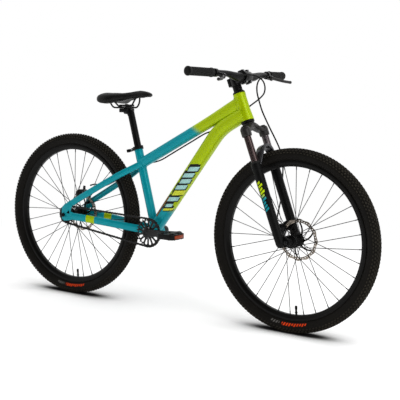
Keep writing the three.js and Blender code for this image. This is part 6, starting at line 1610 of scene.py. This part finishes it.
def saddle_ring(x, width, high, skirt, lift):
    """One section of the padding, from the middle of its base round to the crown and back."""
    base = skirt + (high - skirt) * 0.35
    half = [(0, base), (0.35, base), (0.66, base - (base - skirt) * 0.4), (0.86, skirt)]
    half += [(out, skirt + (high - skirt) * up) for out, up in FLANK]
    half += [(0.38, high), (0.18, high + lift)]
    right = [Vector((x, -s * width, z)) for s, z in half]
    left = [Vector((x, s * width, z)) for s, z in half[1:]]
    return right + [Vector((x, 0, high + lift))] + left[::-1]


def bake_modifiers(item):
    made, old = evaluated(item), item.data
    item.modifiers.clear()
    item.data = made
    made.name = item.name
    bpy.data.meshes.remove(old)


MOMENTS = 20  # of the cloth run


def soften(item):
    """Foam under a tight cover: a short cloth run with a little pressure, held near its shape."""
    rest = [v.co.copy() for v in item.data.vertices]
    cloth = item.modifiers.new("cover", "CLOTH")
    cloth.settings.quality = 6
    cloth.settings.mass = 0.3
    cloth.settings.tension_stiffness = cloth.settings.compression_stiffness = 20
    cloth.settings.bending_stiffness = 2
    cloth.settings.use_pressure = True
    cloth.settings.uniform_pressure_force = 4
    cloth.settings.effector_weights.gravity = 0
    cloth.point_cache.frame_start, cloth.point_cache.frame_end = 1, MOMENTS
    scene = bpy.context.scene
    for moment in range(1, MOMENTS + 1):
        scene.frame_set(moment)
    bake_modifiers(item)
    scene.frame_set(1)
    for vertex, before in zip(item.data.vertices, rest):
        shift = vertex.co - before
        if shift.length > VOXEL:
            shift *= VOXEL / shift.length
        vertex.co = before + shift


def saddle_piece():
    rings = [saddle_ring(place.x, max(width, 6), high, skirt, -1.2 if width > 40 else 0)
             for place, width, high, skirt in smoothed(
                 [(Vector((x, 0, 0)), *rest) for x, *rest in SADDLE_ROWS], 4)]
    pad = part("saddle padding and cover", None, [(skin(rings), cover_black)], False,
               sharp=80, place=SADDLE)
    remesh = pad.modifiers.new("remesh", "REMESH")
    remesh.mode, remesh.voxel_size = "VOXEL", VOXEL
    bake_modifiers(pad)
    soften(pad)
    fine = pad.modifiers.new("smooth", "SUBSURF")
    fine.levels = fine.render_levels = 1
    bake_modifiers(pad)
    pad.data.shade_smooth()
    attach(pad, "seat")
    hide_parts("saddle")
    return pad


def saddle_seams(pad):
    """The sewn edge of the cover: a turned seam along each flank and a row of stitches above."""
    edges, stitches = [], []
    for side in (-1, 1):
        for lift, kept in ((0.1, edges), (0.3, stitches)):
            line = spline([(x, side * width, skirt + (high - skirt) * lift)
                           for x, width, high, skirt in SADDLE_ROWS[1:-1]], 6)
            kept.append([pad.closest_point_on_mesh(SADDLE @ p * MM)[1] / MM for p in line])
    seams = joined(*[tube(line, 0.9, 8) for line in edges])
    thread = joined(*[bar_between(a, a.lerp(b, 0.62), 0.55, 8, 0.2)
                      for line in stitches for a, b in zip(line, line[1:])])
    part("saddle seams", "seat", [(seams, cover_black), (thread, thread_black)], False,
         sharp=80)


saddle_seams(saddle_piece())


# -------------------- cables

FRONT_ROUTE = [
    (304.1, 151.6, 948.6), (306.5, 128, 946.5), (312, 100, 943), (320, 70, 934), (325, 50, 915),
    (331, 42, 888), (342, 40, 858), (357, 40, 820), (396, 44, 749), (430, 54, 683), (433, 80, 631),
    (428.8, 90, 554.6), (428.4, 84, 478.9), (425.7, 70, 427.1), (426, 62, 394.7)]
LOOP_ROUTE = [
    (304.1, -151.6, 948.6), (307, -128, 947), (315, -95, 948), (327, -60, 952), (337, -20, 953),
    (345, 15, 948), (357, 34, 935), (363, 44, 912), (354, 54, 885), (330, 56, 862), (312, 46, 845),
    (299, 33.4, 831)]
REAR_ROUTE = [
    (297.9, 33, 829.9), (262, 34, 799), (225, 34, 773), (196, 33.5, 754), (172, 30, 740),
    (150, 18, 733), (125, 10, 724), (70, 8, 693), (-5, 8, 651), (-60, 12, 621), (-95, 22, 605),
    (-130, 30, 594), (-175, 38, 585), (-215, 50, 577), (-260, 58, 557), (-300, 68, 535),
    (-400, 76, 482), (-452, 78, 464), (-490, 78, 470), (-520, 80, 462)]
FERRULE = 9


def cable(name, route, node, body=None, bend=None):
    path = spline(route, 3)
    ends = joined(*[bar_between(a, a + (b - a).normalized() * FERRULE, 3.4, 16)
                    for a, b in ((path[0], path[4]), (path[-1], path[-5]))])
    made = part(name, body, [(tube(path, 2.9, 12), housing_black), (ends, nylon_black)],
                False)
    if bend:
        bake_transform(made)
    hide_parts(node)


cable("front brake cable", FRONT_ROUTE, "front_brake_cable",
      bend=("steering", "fork_lower", Vector((342, 40, 858)) * MM, Vector((429, 88, 500)) * MM))
cable("rear brake cable loop", LOOP_ROUTE, "rear_brake_loop",
      bend=("steering", "frame", Vector((327, -60, 952)) * MM, Vector((305, 40, 836)) * MM))
cable("rear brake cable", REAR_ROUTE, "rear_brake_cable", "frame")


# -------------------- floor, light and camera

CAMERA_SIDE = (0.56, -0.79, 0.24)


def diffuse(tree, grey):
    return add(tree, "ShaderNodeBsdfDiffuse", None, {"Color": (grey, grey, grey, 1)}).outputs[0]


def shining(tree, kind, strength):
    return add(tree, kind, None, {"Color": (1, 1, 1, 1), "Strength": strength}).outputs[0]


def blend_of(tree, share, first, second):
    return add(tree, "ShaderNodeMixShader", None, {0: share, 1: first, 2: second}).outputs[0]


def floor_and_backdrop():
    bpy.ops.mesh.primitive_plane_add(size=60, location=(0, 0, 0))
    floor = bpy.context.object
    floor.name = "floor"
    paper, tree = blank(bpy.data.materials, "white paper sweep")
    place = add(tree, "ShaderNodeTexCoord").outputs["Object"]
    lit = add(tree, "ShaderNodeAddShader", None,
              {0: diffuse(tree, 0.96), 1: shining(tree, "ShaderNodeEmission", 0.14)}).outputs[0]
    # Painted contact shadow: where the tyres stand, an occlusion mask blends the paper towards a
    # near-black colour, on top of the shade that the lamps already cast.
    shut = add(tree, "ShaderNodeAmbientOcclusion", {"samples": 24}, {"Distance": 0.26})
    near = blend_of(tree, ramp(tree, shut.outputs["AO"], 0.45, 0.93), diffuse(tree, 0.03), lit)
    shown = blend_of(tree, ramp(tree, length(tree, place), 1.1, 2.6), near,
                     shining(tree, "ShaderNodeEmission", 1.0))
    ray = add(tree, "ShaderNodeLightPath").outputs
    seen = number(tree, "MAXIMUM", ray["Is Camera Ray"], ray["Is Transmission Ray"])
    seen = number(tree, "MAXIMUM", seen, ray["Is Glossy Ray"])
    add(tree, "ShaderNodeOutputMaterial", None,
        {"Surface": blend_of(tree, seen, diffuse(tree, 0.8), shown)})
    floor.data.materials.append(paper)


def studio_walls():
    world, tree = blank(bpy.data.worlds, "studio")
    bpy.context.scene.world = world
    ray = add(tree, "ShaderNodeLightPath").outputs
    way = add(tree, "ShaderNodeTexCoord").outputs["Generated"]
    # White walls in every reflection, but for the unlit side of the room in front of the bicycle
    facing = add(tree, "ShaderNodeVectorMath", {"operation": "DOT_PRODUCT"},
                 {0: way, 1: CAMERA_SIDE}).outputs["Value"]
    walls = ramp(tree, facing, -0.05, 0.6, 1.0, 0.04)
    # A wide white scrim overhead, fading down to the pale walls
    height = add(tree, "ShaderNodeSeparateXYZ", None, {0: way}).outputs[2]
    scrim = ramp(tree, height, 0.3, 1.0, 0.22, 1.6)
    plain, mirrored, white = (shining(tree, "ShaderNodeBackground", strength)
                              for strength in (scrim, walls, 1.0))
    seen = number(tree, "MAXIMUM", ray["Is Camera Ray"], ray["Is Transmission Ray"])
    lit = blend_of(tree, ray["Is Glossy Ray"], plain, mirrored)
    add(tree, "ShaderNodeOutputWorld", None, {"Surface": blend_of(tree, seen, lit, white)})


def softbox():
    lamp = bpy.data.lights.new("front softbox", "AREA")
    lamp.energy = 38
    lamp.size = 2.2
    holder = bpy.data.objects.new("front softbox", lamp)
    holder.location = (3.0, -0.9, 1.9)
    aim = Vector((0, 0, 0.5)) - holder.location
    holder.rotation_euler = aim.to_track_quat("-Z", "Y").to_euler()
    bpy.context.scene.collection.objects.link(holder)


def camera():
    """The photograph's own view: it was found by fitting both wheels."""
    yaw, pitch, roll = 0.59041552, 0.11438484, 0.03039289
    forward = Vector((-math.sin(yaw) * math.cos(pitch), math.cos(yaw) * math.cos(pitch),
                      -math.sin(pitch)))
    right = Vector((math.cos(yaw), math.sin(yaw), 0))
    up = right.cross(forward)
    right, up = (right * math.cos(roll) + up * math.sin(roll),
                 up * math.cos(roll) - right * math.sin(roll))
    lens = bpy.data.cameras.new("camera")
    lens.lens = 86.674
    lens.sensor_width = 36
    lens.clip_end = 100
    holder = bpy.data.objects.new("camera", lens)
    turn = Matrix((right, up, -forward)).transposed().to_4x4()
    holder.matrix_world = Matrix.Translation((2.2131235, -3.1339887, 0.8937511)) @ turn
    bpy.context.scene.collection.objects.link(holder)
    bpy.context.scene.camera = holder


floor_and_backdrop()
studio_walls()
softbox()
camera()
bpy.context.scene.view_settings.view_transform = "Standard"
